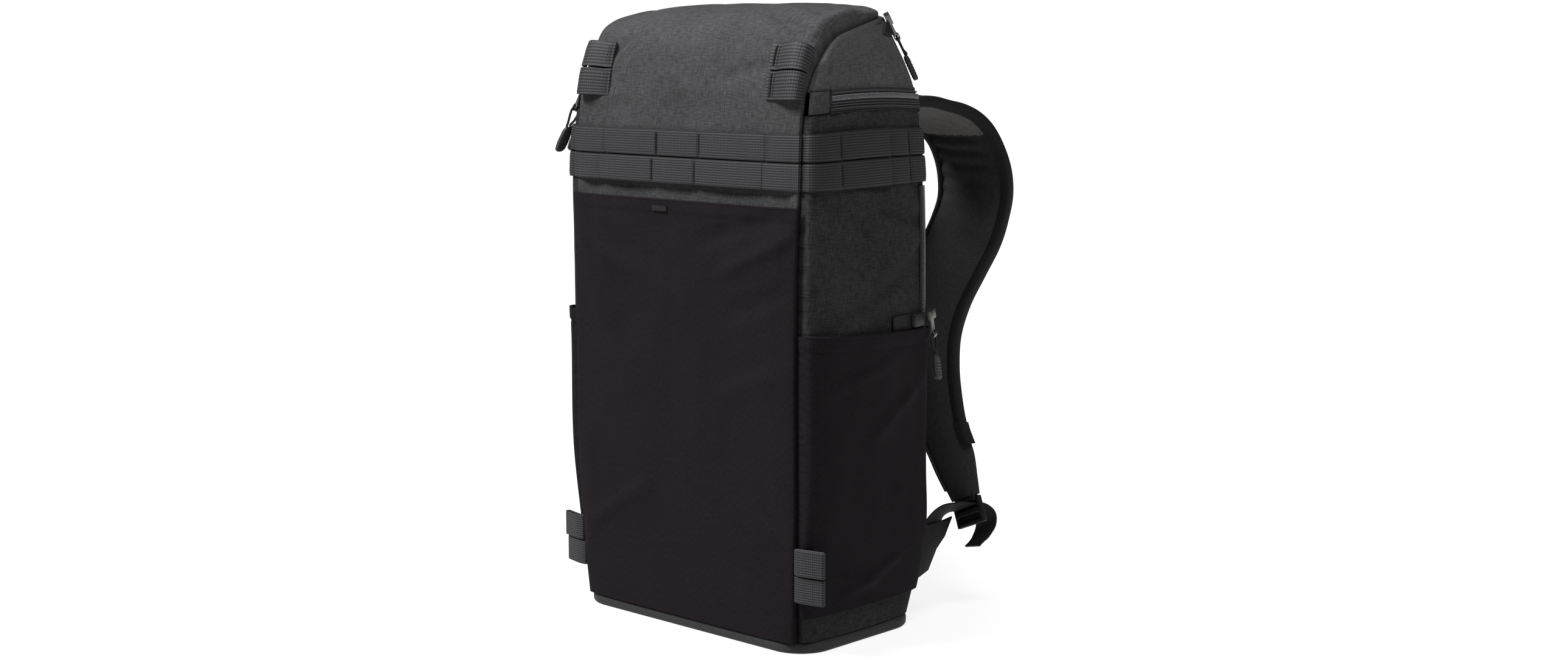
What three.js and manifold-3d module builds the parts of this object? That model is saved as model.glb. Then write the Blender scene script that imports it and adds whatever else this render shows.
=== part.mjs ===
// A slim camera backpack with a zipped lid, standing upright on its base.
// Millimetres, Z up. The front faces -Y, the shoulder straps are on +Y.
// The origin is the middle of the base, on the floor.
import * as THREE from 'three';
import { mergeVertices } from 'three/addons/utils/BufferGeometryUtils.js';
import ManifoldModule from 'manifold-3d';

// Body
const baseWidth = 238;
const baseDepth = 132;
const baseCorner = 28;
const backDepth = 74; // from the middle of the base to the back seam
const bagHeight = 462;
const lidHeight = 68; // from the lid zip to the top
const zipBelow = 10; // the lid zip's slot, below and above the coil
const zipAbove = 6;
const zipArch = 2.5; // the slot rises this much half way along the side
const sideBulge = 16;
const lidBulge = 9;
const backCrown = 6;
const frontWall = 6;
const sideWall = 6;
const backWall = 12;
const lidWall = 4;
const bindingHeight = 8.3;
const bindingWidth = 8;
const bandRound = 1.4;
const basePanelThickness = 5;

// Cloth, webbing and zips
const gap = 0.3; // clearance wherever two pieces touch
const pocketCloth = 1.5;
const pocketSlack = 3.2; // how far a pocket's hem stands off the wall
const hemBelowWebbing = 12.5; // from the front webbing down to the pocket's hem
const sideHemFront = 231;
const sideHemBack = 223;
const sidePocketBottom = 27.3;
const tabWidth = 15;
const tabHeight = 4;
const tabPlace = -17; // from the middle of the front
const webbingWidth = 19;
const webbingThickness = 1.4;
const webbingDrop = 42.5; // from the lid zip down to the line between the two rows
const rowGap = 1;
const tapeThickness = 1.6;
const coilWidth = 4.4;
const coilHeight = 1.5;
const zipDepth = 1.2; // how far the tape lies under the cloth around it
const garageRight = 16; // cloth in front of the lid zip's ends
const garageLeft = 6;

// Gear loops at the corners
const upperLoopLift = 16; // from the lid zip up to the line between the two loops
const upperLoopInner = 83; // from the middle to the sewn end
const upperLoopRise = 8;
const lowerLoopReach = 23;
const lowerLoopRight = 60;
const lowerLoopLeft = 49;
const lowerLoopFold = 4.4; // outer thickness of the folded webbing
const lowerLoopTurn = THREE.MathUtils.degToRad(77); // from straight back to outwards

const sideZipPlace = 0.955; // share of the side from its front seam
const sideZipHalf = 3;
const sideZipRise = 7; // above the side pocket's hem
const tuckBelow = 9; // the tucked strap's edges, below and above the hem
const tuckAbove = 13;
const buckleRise = 3; // above the hem
const buckleThickness = 2.6;

// Shoulder straps
const strapThickness = 12;
const strapEdge = 5;
const strapReach = 122; // how far the arch stands behind the back seam
const strapDrop = 5.5; // from the lid zip down to the arch's top
const strapInset = 19; // from the base's side to the outer edge of the arch
const strapWebbing = 20;
const lockThickness = 4.2;
const lockBar = 4;
const lockSlot = 5.4;
const lockRim = 3;
const wingThickness = 2;
const wingFromSlot = 8.5; // from the lock's upper slot inwards to the wing
const wingReach = 43; // behind the back seam
const wingBelowSlot = 7.7;

// Zip pulls
const sliderLength = 10;
const sliderWidth = 7;
const sliderHeight = 4;
const pullerWidth = 5;
const pullerThickness = 1.8;
const eyeLength = 11; // from the slider's edge to the middle of its eye
const eyeRadius = 2.3;
const pullCord = 1.8;
const pullLoop = 9.2; // width of the loop at the slider
const pullDrop = 32; // from the slider to the grip
const gripLength = 20;
const gripWidth = 8;
const gripThickness = 4;
const pullSwing = 9; // how far the lid pulls' grips hang off the side
const topPullPlace = 0.94; // share of the lid's back from the middle to its seam

const halfWidth = baseWidth / 2;
const halfDepth = baseDepth / 2;
const bodyBottom = bindingHeight + gap;
const zipHeight = bagHeight - lidHeight;
const slotBottom = zipHeight - zipBelow;
const webbingHeight = zipHeight - webbingDrop;
const frontHemHeight = webbingHeight - rowGap / 2 - webbingWidth - hemBelowWebbing;
const upperLoopHeight = zipHeight + upperLoopLift;
const strapSide = halfWidth - strapInset;
const strapTop = zipHeight - strapDrop;
const mix = THREE.MathUtils.lerp;
const vector = (x, y, z) => new THREE.Vector3(x, y, z);
const table = (columns, rows) =>
  rows.map((row) => Object.fromEntries(columns.map((name, i) => [name, row[i]])));

// The body from the base to the lid zip. Heights are shares from the binding to the slot, sides are
// shares of halfWidth, front and middle of halfDepth, back of backDepth, crown of backCrown, bulge
// of sideBulge. corner and round are powers: the front's rounded corner, the side's swelling curve.
const bodyRows = table(
  ['height', 'side', 'front', 'middle', 'corner', 'backSide', 'back', 'crown', 'bulge', 'round', 'skew', 'arch'],
  [
    [0.0, 0.899, 0.898, 0.985, 5, 0.899, 0.801, 0.9, 0.68, 3.0, 0.0, 0],
    [0.065, 0.912, 0.924, 1.008, 5, 0.924, 0.892, 1, 0.66, 3.0, 0.2, 0],
    [0.177, 0.929, 0.962, 1.03, 5, 0.941, 0.99, 1, 0.84, 3.5, 0.5, 0],
    [0.283, 0.941, 0.985, 1.045, 5, 0.941, 1.0, 1, 1.0, 4.0, 0.8, 0],
    [0.537, 0.944, 0.994, 1.053, 5, 0.941, 1.0, 1, 1.0, 4.0, 0.8, 0],
    [0.75, 0.954, 0.992, 1.038, 5, 0.941, 0.993, 1, 0.95, 4.0, 0.8, 0],
    [0.856, 0.966, 0.985, 1.023, 5, 0.937, 0.977, 1, 0.9, 4.0, 0.8, 0],
    [1.0, 0.966, 0.932, 1.0, 4.5, 0.929, 0.922, 0.9, 0.62, 4.0, 0.8, 1],
  ],
);

// The lid from the zip to the top edge at the back. Heights are shares of lidHeight above the zip.
// height, side and front follow the seam between front and cheek, top and middle the centre line
// over the lid, then the back seam of the cheek and the centre line of the back slope.
const lidRows = table(
  ['height', 'side', 'front', 'top', 'middle', 'rearHeight', 'rearSide', 'rear', 'rearTop', 'rearMiddle', 'bulge', 'arch'],
  [
    [0.088, 0.966, 0.882, 0.105, 0.985, 0.088, 0.916, 0.869, 0.088, 0.932, 1.0, 1],
    [0.176, 0.966, 0.841, 0.22, 0.97, 0.162, 0.916, 0.831, 0.17, 0.9, 0.95, 0.8],
    [0.279, 0.962, 0.773, 0.368, 0.939, 0.265, 0.91, 0.784, 0.285, 0.845, 0.85, 0.5],
    [0.456, 0.958, 0.636, 0.588, 0.871, 0.412, 0.9, 0.716, 0.44, 0.777, 0.7, 0.2],
    [0.574, 0.95, 0.508, 0.75, 0.758, 0.515, 0.89, 0.668, 0.56, 0.716, 0.55, 0],
    [0.647, 0.94, 0.379, 0.853, 0.606, 0.588, 0.886, 0.622, 0.65, 0.669, 0.4, 0],
    [0.713, 0.916, 0.121, 0.941, 0.333, 0.647, 0.882, 0.588, 0.73, 0.622, 0.25, 0],
    [0.779, 0.89, -0.182, 0.993, -0.03, 0.721, 0.874, 0.554, 0.83, 0.568, 0.12, 0],
    [0.846, 0.866, -0.485, 0.993, -0.5, 0.779, 0.866, 0.54, 0.9, 0.524, 0, 0],
  ],
);
const lidCorner = 3.2; // power of the rounded edge of the lid
const rearCorner = 4;

// Gives each row of a face the direction that points out of it, square to its run up the bag
function faceOutwards(rows, sign) {
  rows.forEach((row, i) => {
    const below = rows[Math.max(i - 1, 0)];
    const above = rows[Math.min(i + 1, rows.length - 1)];
    for (const line of ['edge', 'centre']) {
      const run = above[line].clone().sub(below[line]);
      row[`${line}Out`] = vector(0, -run.z * sign, run.y * sign).normalize();
    }
  });
  return rows;
}

const bodyHeight = (row) => mix(bodyBottom, slotBottom, row.height);
const lidRowHeight = (share) => zipHeight + lidHeight * share;

const frontFace = faceOutwards(
  [
    ...bodyRows.map((row) => ({
      edge: vector(halfWidth * row.side, -halfDepth * row.front, bodyHeight(row)),
      centre: vector(0, -halfDepth * row.middle, bodyHeight(row)),
      corner: row.corner,
      wall: frontWall,
    })),
    ...lidRows.map((row) => ({
      edge: vector(halfWidth * row.side, -halfDepth * row.front, lidRowHeight(row.height)),
      centre: vector(0, -halfDepth * row.middle, lidRowHeight(row.top)),
      corner: lidCorner,
      wall: lidWall,
    })),
  ],
  1,
);
const backFace = faceOutwards(
  bodyRows.map((row) => ({
    edge: vector(halfWidth * row.backSide, backDepth * row.back, bodyHeight(row)),
    centre: vector(0, backDepth * row.back + backCrown * row.crown, bodyHeight(row)),
    corner: rearCorner,
  })),
  -1,
);
const rearFace = faceOutwards(
  lidRows.map((row) => ({
    edge: vector(halfWidth * row.rearSide, backDepth * row.rear, lidRowHeight(row.rearHeight)),
    centre: vector(0, backDepth * row.rearMiddle, lidRowHeight(row.rearTop)),
    corner: rearCorner,
  })),
  -1,
);

// The walls are cut square to the slots of the lid zip and of the top zip
const lidEdge = frontFace[frontFace.length - 1];
const rearEdge = rearFace[rearFace.length - 1];
const topRun = rearEdge.centre.clone().sub(lidEdge.centre);
lidEdge.centreOut = vector(0, -topRun.z, topRun.y).normalize();
rearEdge.centreOut = lidEdge.centreOut;
rearEdge.edgeOut = lidEdge.centreOut;
for (const row of [frontFace[bodyRows.length - 1], frontFace[bodyRows.length]]) {
  row.edgeOut = vector(0, -1, 0);
}
for (const row of [backFace[backFace.length - 1], rearFace[0]]) {
  row.edgeOut = vector(0, 1, 0);
  row.centreOut = vector(0, 1, 0);
}

// The row of a table at any height of its first measure
function rowAt(rows, height, measure) {
  let i = 0;
  while (i < rows.length - 2 && height > measure(rows[i + 1])) i += 1;
  const start = measure(rows[i]);
  const share = (height - start) / (measure(rows[i + 1]) - start);
  const row = {};
  for (const [name, value] of Object.entries(rows[i])) {
    const next = rows[i + 1][name];
    row[name] = value.isVector3 ? value.clone().lerp(next, share) : mix(value, next, share);
  }
  return row;
}
const faceRow = (face, height) => rowAt(face, height, (row) => row.edge.z);

// A point of the front, the back or the lid's back: across runs from -1 to 1 between the seams
function facePoint(row, across, out, trim = gap) {
  const drop = 1 - (1 - Math.min(Math.abs(across), 1) ** row.corner) ** (1 / row.corner);
  const centre = row.centre.clone().addScaledVector(row.centreOut, out);
  const edge = row.edge.clone().addScaledVector(row.edgeOut, out);
  const point = centre.lerp(edge, drop);
  point.x = across * (row.edge.x + out - trim);
  return point;
}

// A point of a side wall between its front seam, along 0, and its back seam, along 1
function swell(along, round, skew) {
  return (1 - Math.abs(2 * along - 1) ** round) ** (1 / round) * (1 - skew * along ** 1.5);
}
function cheekPoint(front, back, along, out, bulge, rise, trim) {
  const start = front.edge.clone().addScaledVector(front.edgeOut, out);
  const end = back.edge.clone().addScaledVector(back.edgeOut, out);
  const run = end.clone().sub(start).setX(0).normalize();
  start.addScaledVector(run, trim);
  end.addScaledVector(run, -trim);
  const point = start.lerp(end, along);
  point.x += out + bulge;
  point.z += rise * (1 - (2 * along - 1) ** 2);
  return point;
}
function sidePoint(height, along, out, trim = gap) {
  const shape = rowAt(bodyRows, height, bodyHeight);
  const bulge = sideBulge * shape.bulge * swell(along, shape.round, shape.skew);
  return cheekPoint(faceRow(frontFace, height), faceRow(backFace, height), along, out, bulge,
    zipArch * shape.arch, trim);
}
function gussetPoint(i, along, out, trim = gap) {
  const bulge = lidBulge * lidRows[i].bulge * swell(along, 3, 0.5);
  return cheekPoint(frontFace[bodyRows.length + i], rearFace[i], along, out, bulge,
    zipArch * lidRows[i].arch, trim);
}

const acrossShares = [0, 0.25, 0.5, 0.7, 0.82, 0.9, 0.95, 0.985, 1];
const acrossColumns = [...acrossShares.slice(1).reverse().map((share) => -share), ...acrossShares];
const alongColumns = [0, 0.012, 0.045, 0.11, 0.22, 0.38, 0.56, 0.74, 0.88, 0.96, 1];
const between = (low, high, values) => [low, ...values.filter((v) => v > low && v < high), high];
const rowHeights = (low, high) => between(low, high, bodyRows.map(bodyHeight));

// Turns a closed geometry's faces outwards, whichever way they were wound
function outwards(positions, index) {
  let volume = 0;
  const corner = (i) => vector(...positions.slice(i * 3, i * 3 + 3));
  for (let i = 0; i < index.length; i += 3) {
    volume += corner(index[i]).dot(corner(index[i + 1]).cross(corner(index[i + 2])));
  }
  if (volume < 0) index.reverse();
  const geometry = new THREE.BufferGeometry();
  geometry.setAttribute('position', new THREE.Float32BufferAttribute(positions, 3));
  geometry.setIndex(index);
  return geometry;
}

// One closed body of shared corners, mirrored in X for the left hand
function solid(geometry, side = 1) {
  geometry.deleteAttribute('normal');
  geometry.deleteAttribute('uv');
  const merged = mergeVertices(geometry, 1e-4);
  merged.scale(side, 1, 1);
  return outwards([...merged.attributes.position.array], [...merged.index.array]);
}

// A closed wall between two grids of points that run the same way
function wall(outer, inner) {
  const rows = outer.length;
  const columns = outer[0].length;
  const positions = [outer, inner].flat(2).flatMap((p) => [p.x, p.y, p.z]);
  const index = [];
  const quad = (a, b, c, d) => index.push(a, b, c, a, c, d);
  const at = (layer, row, column) => (layer * rows + row) * columns + column;
  for (let r = 0; r < rows - 1; r += 1) {
    for (let c = 0; c < columns - 1; c += 1) {
      quad(at(0, r, c), at(0, r, c + 1), at(0, r + 1, c + 1), at(0, r + 1, c));
      quad(at(1, r, c), at(1, r + 1, c), at(1, r + 1, c + 1), at(1, r, c + 1));
    }
    quad(at(0, r, 0), at(0, r + 1, 0), at(1, r + 1, 0), at(1, r, 0));
    quad(at(0, r + 1, columns - 1), at(0, r, columns - 1), at(1, r, columns - 1), at(1, r + 1, columns - 1));
  }
  for (let c = 0; c < columns - 1; c += 1) {
    quad(at(0, 0, c + 1), at(0, 0, c), at(1, 0, c), at(1, 0, c + 1));
    quad(at(0, rows - 1, c), at(0, rows - 1, c + 1), at(1, rows - 1, c + 1), at(1, rows - 1, c));
  }
  return outwards(positions, index);
}

// A closed section carried along stations of three directions; open runs get flat ends
function sweep(stations, section, closed = false) {
  const positions = stations.flatMap(({ at, across, out }) =>
    section.flatMap(([a, b]) => at.clone().addScaledVector(across, a).addScaledVector(out, b).toArray()));
  const sides = section.length;
  const index = [];
  const last = closed ? stations.length : stations.length - 1;
  for (let s = 0; s < last; s += 1) {
    const next = (s + 1) % stations.length;
    for (let i = 0; i < sides; i += 1) {
      const j = (i + 1) % sides;
      index.push(s * sides + i, next * sides + i, next * sides + j);
      index.push(s * sides + i, next * sides + j, s * sides + j);
    }
  }
  if (!closed) {
    const outline = section.map(([a, b]) => new THREE.Vector2(a, b));
    const winding = THREE.ShapeUtils.area(outline);
    const end = (stations.length - 1) * sides;
    for (const [a, b, c] of THREE.ShapeUtils.triangulateShape(outline, [])) {
      const same = THREE.ShapeUtils.area([outline[a], outline[b], outline[c]]) * winding > 0;
      const [p, q] = same ? [b, c] : [c, b];
      index.push(a, p, q);
      index.push(end + a, end + q, end + p);
    }
  }
  return outwards(positions, index);
}

const mirrored = (point) => vector(-point.x, point.y, point.z);
const onSide = (side, grid) => (side < 0 ? grid.map((row) => row.map(mirrored)) : grid);
const sides = [
  ['right', 1],
  ['left', -1],
];

// Materials
const finish = (color, roughness, metalness = 0) =>
  new THREE.MeshStandardMaterial({ color, roughness, metalness });
const shellCloth = () => finish(0x3a3b3d, 0.9);
const stretchCloth = () => finish(0x1f1b1e, 0.85);
const webbing = () => finish(0x2d2e30, 0.8);
const liningCloth = () => finish(0x3a3736, 0.9);
const blackPlastic = () => finish(0x141415, 0.5);
const zipTape = () => finish(0x242526, 0.8);
const sliderMetal = () => finish(0x9a958a, 0.35, 1);
const gripRubber = () => finish(0x2a2b2c, 0.6);

const backpack = new THREE.Group();
function add(name, geometry, material) {
  const mesh = new THREE.Mesh(geometry, material);
  mesh.name = name;
  backpack.add(mesh);
  return mesh;
}

// Walls of the body and the lid
function wallBetween(rows, columns, pointAt, inside, outside = 0) {
  const grid = (out) => rows.map((row) => columns.map((column) => pointAt(row, column, out)));
  return [grid(outside), grid(-inside)];
}
const addWall = (name, grids, material, side = 1) =>
  add(name, wall(...grids.map((grid) => onSide(side, grid))), material);

const lidRowNumbers = lidRows.map((row, i) => i);
const bodyHeights = bodyRows.map(bodyHeight);
const frontLayer = (row, across, layer) => facePoint(row, across, layer * row.wall);
addWall('front_panel', wallBetween(frontFace, acrossColumns, frontLayer, 1), shellCloth());
addWall('back_panel', wallBetween(backFace, acrossColumns, facePoint, backWall), liningCloth());
addWall('lid_back', wallBetween(rearFace, acrossColumns, facePoint, lidWall), shellCloth());
for (const [hand, side] of sides) {
  const body = wallBetween(bodyHeights, alongColumns, sidePoint, sideWall);
  addWall(`side_panel_${hand}`, body, shellCloth(), side);
  const cheek = wallBetween(lidRowNumbers, alongColumns, gussetPoint, lidWall);
  addWall(`lid_gusset_${hand}`, cheek, shellCloth(), side);
}

// Base: a flat floor inside the turned band
function baseStations(inset, steps = 5) {
  const stations = [];
  for (const [x, y, start] of [[1, -1, -90], [1, 1, 0], [-1, 1, 90], [-1, -1, 180]]) {
    for (let i = 0; i <= steps; i += 1) {
      const angle = THREE.MathUtils.degToRad(start + (90 * i) / steps);
      const ray = vector(Math.cos(angle), Math.sin(angle), 0);
      const centre = vector(x * (halfWidth - baseCorner), y * (halfDepth - baseCorner), 0);
      stations.push({
        at: centre.addScaledVector(ray, baseCorner - inset),
        across: ray.negate(),
        out: vector(0, 0, 1),
      });
    }
  }
  return stations;
}
const bandSection = [
  [bandRound, 0],
  [0, bandRound],
  [0, bindingHeight - bandRound],
  [bandRound, bindingHeight],
  [bindingWidth, bindingHeight],
  [bindingWidth, 0],
];
add('base_binding', sweep(baseStations(0), bandSection, true), webbing());
const floorShape = new THREE.Shape(
  baseStations(bindingWidth + gap).map(({ at }) => new THREE.Vector2(at.x, at.y)),
);
add(
  'base_panel',
  solid(new THREE.ExtrudeGeometry(floorShape, { depth: basePanelThickness, bevelEnabled: false })),
  webbing(),
);

// Lid zip: one tape with its coil, round both sides and the back
const slotHalf = (zipBelow + zipAbove) / 2 - 3 * gap;
const coilAt = (zipBelow - zipAbove) / 2;
const slotLength = backDepth * lidRows[0].rear + halfDepth * lidRows[0].front;
function slotStation(low, high, next) {
  const across = high.clone().sub(low).normalize();
  const at = low.clone().lerp(high, 0.5);
  return { at, across, out: next.sub(at).normalize().cross(across).normalize() };
}
function zipStations() {
  const line = [];
  const cheek = (garage, place) =>
    between((garage + 5 * gap) / slotLength, 1, alongColumns).slice(0, -1).map((along) => [
      place(sidePoint(slotBottom, along, 0, 0)),
      place(gussetPoint(0, along, 0, 0)),
    ]);
  line.push(...cheek(garageRight, (point) => point));
  for (const across of acrossColumns.slice().reverse()) {
    const low = facePoint(backFace[backFace.length - 1], across, 0, 0);
    line.push([low, facePoint(rearFace[0], across, 0, 0)]);
  }
  line.push(...cheek(garageLeft, mirrored).reverse());
  const middle = ([low, high]) => low.clone().lerp(high, 0.5);
  return line.map(([low, high], i) => {
    const run = middle(line[Math.min(i + 1, line.length - 1)]).sub(middle(line[Math.max(i - 1, 0)]));
    return slotStation(low, high, middle([low, high]).add(run));
  });
}
function zipSection(half, coil, depth = zipDepth) {
  return [
    [-half, -depth - tapeThickness],
    [half, -depth - tapeThickness],
    [half, -depth],
    [coil + coilWidth / 2, -depth],
    [coil + coilWidth / 3, coilHeight - depth],
    [coil - coilWidth / 3, coilHeight - depth],
    [coil - coilWidth / 2, -depth],
    [-half, -depth],
  ];
}
add('lid_zip', sweep(zipStations(), zipSection(slotHalf, coilAt)), zipTape());

// Cloth patches in front of the ends of the lid zip
const slotShare = gap / (zipBelow + zipAbove);
for (const [hand, side, garage] of [['right', 1, garageRight], ['left', -1, garageLeft]]) {
  const columns = between(0, garage / slotLength, alongColumns);
  const patchPoint = (share, along, out) =>
    sidePoint(slotBottom, along, out).lerp(gussetPoint(0, along, out), share);
  const grids = wallBetween([slotShare, 0.5, 1 - slotShare], columns, patchPoint, pocketCloth);
  addWall(`zip_garage_${hand}`, grids, shellCloth(), side);
}

// Top zip along the back edge of the lid, and the cloth over its two ends
function topZip() {
  const reach = 1 - (2 * lidWall + 2 * gap) / lidEdge.edge.x;
  const columns = acrossColumns.filter((across) => Math.abs(across) < reach);
  const line = [reach, ...columns.reverse(), -reach].map((across) => [
    facePoint(rearEdge, across, 0),
    facePoint(lidEdge, across, 0),
  ]);
  const half = Math.min(...line.map(([low, high]) => low.distanceTo(high))) / 2 - 4 * gap;
  const stations = line.map(([low, high]) =>
    slotStation(low, high, low.clone().lerp(high, 0.5).add(vector(-1, 0, 0))));
  return sweep(stations, zipSection(half, 0));
}
add('top_zip', topZip(), zipTape());
for (const [hand, side] of sides) {
  const columns = alongColumns.slice(7);
  const rows = lidRowNumbers.slice(-3);
  const patch = wallBetween(rows, columns, gussetPoint, -gap, gap + webbingThickness);
  addWall(`top_garage_${hand}`, patch, webbing(), side);
}

// Stretch pockets: flat on the wall, their hems standing off a little
const frontPoint = (height, across, out) => facePoint(faceRow(frontFace, height), across, out);
const slackAt = (climb, across) => pocketSlack * climb ** 2 * (1 - Math.abs(across) ** 8);
function frontPocketPoint(height, across, out) {
  const climb = (height - bodyBottom) / (frontHemHeight - bodyBottom);
  return frontPoint(height, across, gap + slackAt(climb, across) + out);
}
const frontPocket = wallBetween(
  rowHeights(bodyBottom, frontHemHeight), acrossColumns, frontPocketPoint, 0, pocketCloth);
addWall('front_pocket', frontPocket, stretchCloth());
const tabTop = frontHemHeight - tabHeight;
const tabColumns = [tabPlace - tabWidth / 2, tabPlace + tabWidth / 2].map((x) => x / halfWidth);
const tab = wallBetween(
  [tabTop - tabHeight, tabTop], tabColumns, frontPocketPoint, -pocketCloth - gap, pocketCloth + 3 * gap);
addWall('pocket_tab', tab, webbing());

const sideHem = (along) => mix(sideHemFront, sideHemBack, 1 - (1 - along) ** 1.5);
function sidePocketPoint(height, along, out) {
  const climb = (height - sidePocketBottom) / (sideHemFront - sidePocketBottom);
  return sidePoint(height, along, gap + slackAt(Math.min(climb, 1), 2 * along - 1) + out);
}
const pocketHeights = rowHeights(sidePocketBottom, Math.min(sideHemFront, sideHemBack));
const sidePocketRows = [...pocketHeights.slice(0, -1).map((height) => () => height), sideHem];
for (const [hand, side] of sides) {
  const pocketPoint = (heightAt, along, out) => sidePocketPoint(heightAt(along), along, out);
  const pocket = wallBetween(sidePocketRows, alongColumns, pocketPoint, 0, pocketCloth);
  addWall(`side_pocket_${hand}`, pocket, stretchCloth(), side);
}

// Two rows of webbing round the front and the sides
const webbingRows = [
  ['lower', webbingHeight - rowGap / 2 - webbingWidth],
  ['upper', webbingHeight + rowGap / 2],
];
for (const [row, low] of webbingRows) {
  const heights = rowHeights(low, low + webbingWidth);
  const front = wallBetween(heights, acrossColumns, frontPoint, -gap, gap + webbingThickness);
  addWall(`front_webbing_${row}`, front, webbing());
  for (const [hand, side] of sides) {
    const band = wallBetween(heights, alongColumns, sidePoint, -gap, gap + webbingThickness);
    addWall(`side_webbing_${hand}_${row}`, band, webbing(), side);
  }
}

// Upper gear loops: a strap sewn down near the middle, standing off over the corner of the lid.
// inward is the distance from the seam as a share of the loop's length, rise of upperLoopRise.
const upperLoopPath = table(['inward', 'rise'], [
  [1, 0.13],
  [0.84, 0.13],
  [0.64, 0.45],
  [0.42, 0.82],
  [0.2, 1],
  [0.06, 0.9],
  [0, 0.62],
  [0, 0.25],
]);
function climbFrom(height, distance) {
  const step = 0.2;
  const place = (h) => frontPoint(h, upperLoopInner / halfWidth, 0);
  let top = height;
  for (let length = 0; length < distance; top += step) {
    length += place(top).distanceTo(place(top + step));
  }
  return top;
}
function ribbonSides(path, thickness) {
  return path.map((point, i) => {
    const run = path[Math.min(i + 1, path.length - 1)].clone().sub(path[Math.max(i - 1, 0)]);
    const off = new THREE.Vector2(-run.y, run.x).normalize().multiplyScalar(thickness / 2);
    return [point.clone().add(off), point.clone().sub(off)];
  });
}
function upperLoop(low, high) {
  const layers = [[], []];
  for (const height of [low, (low + high) / 2, high]) {
    const row = faceRow(frontFace, height);
    const length = row.edge.x - upperLoopInner;
    const path = upperLoopPath.map(({ inward, rise }) => new THREE.Vector2(
      row.edge.x - length * inward, gap + webbingThickness / 2 + upperLoopRise * (rise - 0.13)));
    ribbonSides(path, webbingThickness).forEach((pair) => pair.forEach(({ x, y }, layer) => {
      layers[layer].push(facePoint(row, x / (row.edge.x + y), y, 0));
    }));
  }
  const count = upperLoopPath.length;
  return layers.map((points) => [0, 1, 2].map((i) => points.slice(i * count, (i + 1) * count)));
}
const upperLoops = [
  ['a', climbFrom(upperLoopHeight, rowGap / 2), climbFrom(upperLoopHeight, webbingWidth)],
  ['b', upperLoopHeight - webbingWidth + webbingThickness * 2, upperLoopHeight - rowGap],
];
for (const [hand, side] of sides) {
  for (const [letter, low, high] of upperLoops) {
    addWall(`upper_loop_${hand}_${letter}`, upperLoop(low, high), webbing(), side);
  }
}

// Lower gear loops: webbing folded double, both ends sewn into the front corner seam
const foldPath = table(['along', 'off'], [
  [0, 0],
  [0, -0.6],
  [0.3, -0.5],
  [0.9, -0.5],
  [0.97, -0.35],
  [1, 0],
  [0.97, 0.35],
  [0.9, 0.5],
  [0.3, 0.5],
]);
function lowerLoop(height) {
  const row = faceRow(frontFace, height);
  const thick = lowerLoopFold - webbingThickness;
  const behind = pocketCloth + 5 * gap + lowerLoopFold / 2;
  const seat = vector(row.edge.x + pocketCloth + webbingThickness / 2 + 4 * gap, row.edge.y - behind, height);
  const reach = vector(Math.sin(lowerLoopTurn), Math.cos(lowerLoopTurn), 0);
  const aside = vector(reach.y, -reach.x, 0);
  const points = foldPath.map(({ along, off }) =>
    seat.clone().addScaledVector(reach, along * lowerLoopReach).addScaledVector(aside, off * thick));
  const stations = points.map((at, i) => {
    const next = points[(i + 1) % points.length];
    const last = points[(i + points.length - 1) % points.length];
    const run = next.clone().sub(last).normalize();
    return { at, across: run.cross(vector(0, 0, 1)), out: vector(0, 0, 1) };
  });
  const half = webbingThickness / 2;
  const section = [[-half, 0], [half, 0], [half, webbingWidth], [-half, webbingWidth]];
  return sweep(stations, section, true);
}
for (const [hand, side, middle] of [['right', 1, lowerLoopRight], ['left', -1, lowerLoopLeft]]) {
  for (const [letter, low] of [['a', middle + rowGap / 2], ['b', middle - rowGap / 2 - webbingWidth]]) {
    const loop = lowerLoop(low).scale(side, 1, 1);
    add(`lower_loop_${hand}_${letter}`, solid(loop), webbing());
  }
}

// Zip of the side pocket's upper part, the strap tucked behind the pocket and its buckle
const sideZipHeights = rowHeights(sideHemBack + sideZipRise, webbingHeight - webbingWidth - 4 * gap - rowGap);
const sideZipStations = sideZipHeights.map((height) => {
  const across = sidePoint(height, sideZipPlace + 0.01, 0).sub(sidePoint(height, sideZipPlace - 0.01, 0));
  const up = sidePoint(height + 1, sideZipPlace, 0).sub(sidePoint(height - 1, sideZipPlace, 0));
  const out = across.clone().cross(up).normalize();
  return { at: sidePoint(height, sideZipPlace, 0), across: across.normalize(), out };
});
const sideZipLift = -(tapeThickness + 2 * gap);
add('side_zip', sweep(sideZipStations, zipSection(sideZipHalf, 0, sideZipLift)), zipTape());
const strapColumns = between(0.66, 0.9, alongColumns);
const tuckHeights = [sideHemBack - tuckBelow, sideHemBack + tuckAbove];
const tucked = wallBetween(tuckHeights, strapColumns, sidePoint, -gap, gap + webbingThickness);
addWall('side_strap', tucked, webbing());
const buckleColumns = between(0.82, 0.91, alongColumns);
const buckleLow = 2 * gap + webbingThickness;
const buckle = wallBetween(
  [sideHemBack + buckleRise, sideHemBack + tuckAbove], buckleColumns, sidePoint, -buckleLow, buckleLow + buckleThickness);
addWall('side_buckle', buckle, blackPlastic());

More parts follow.
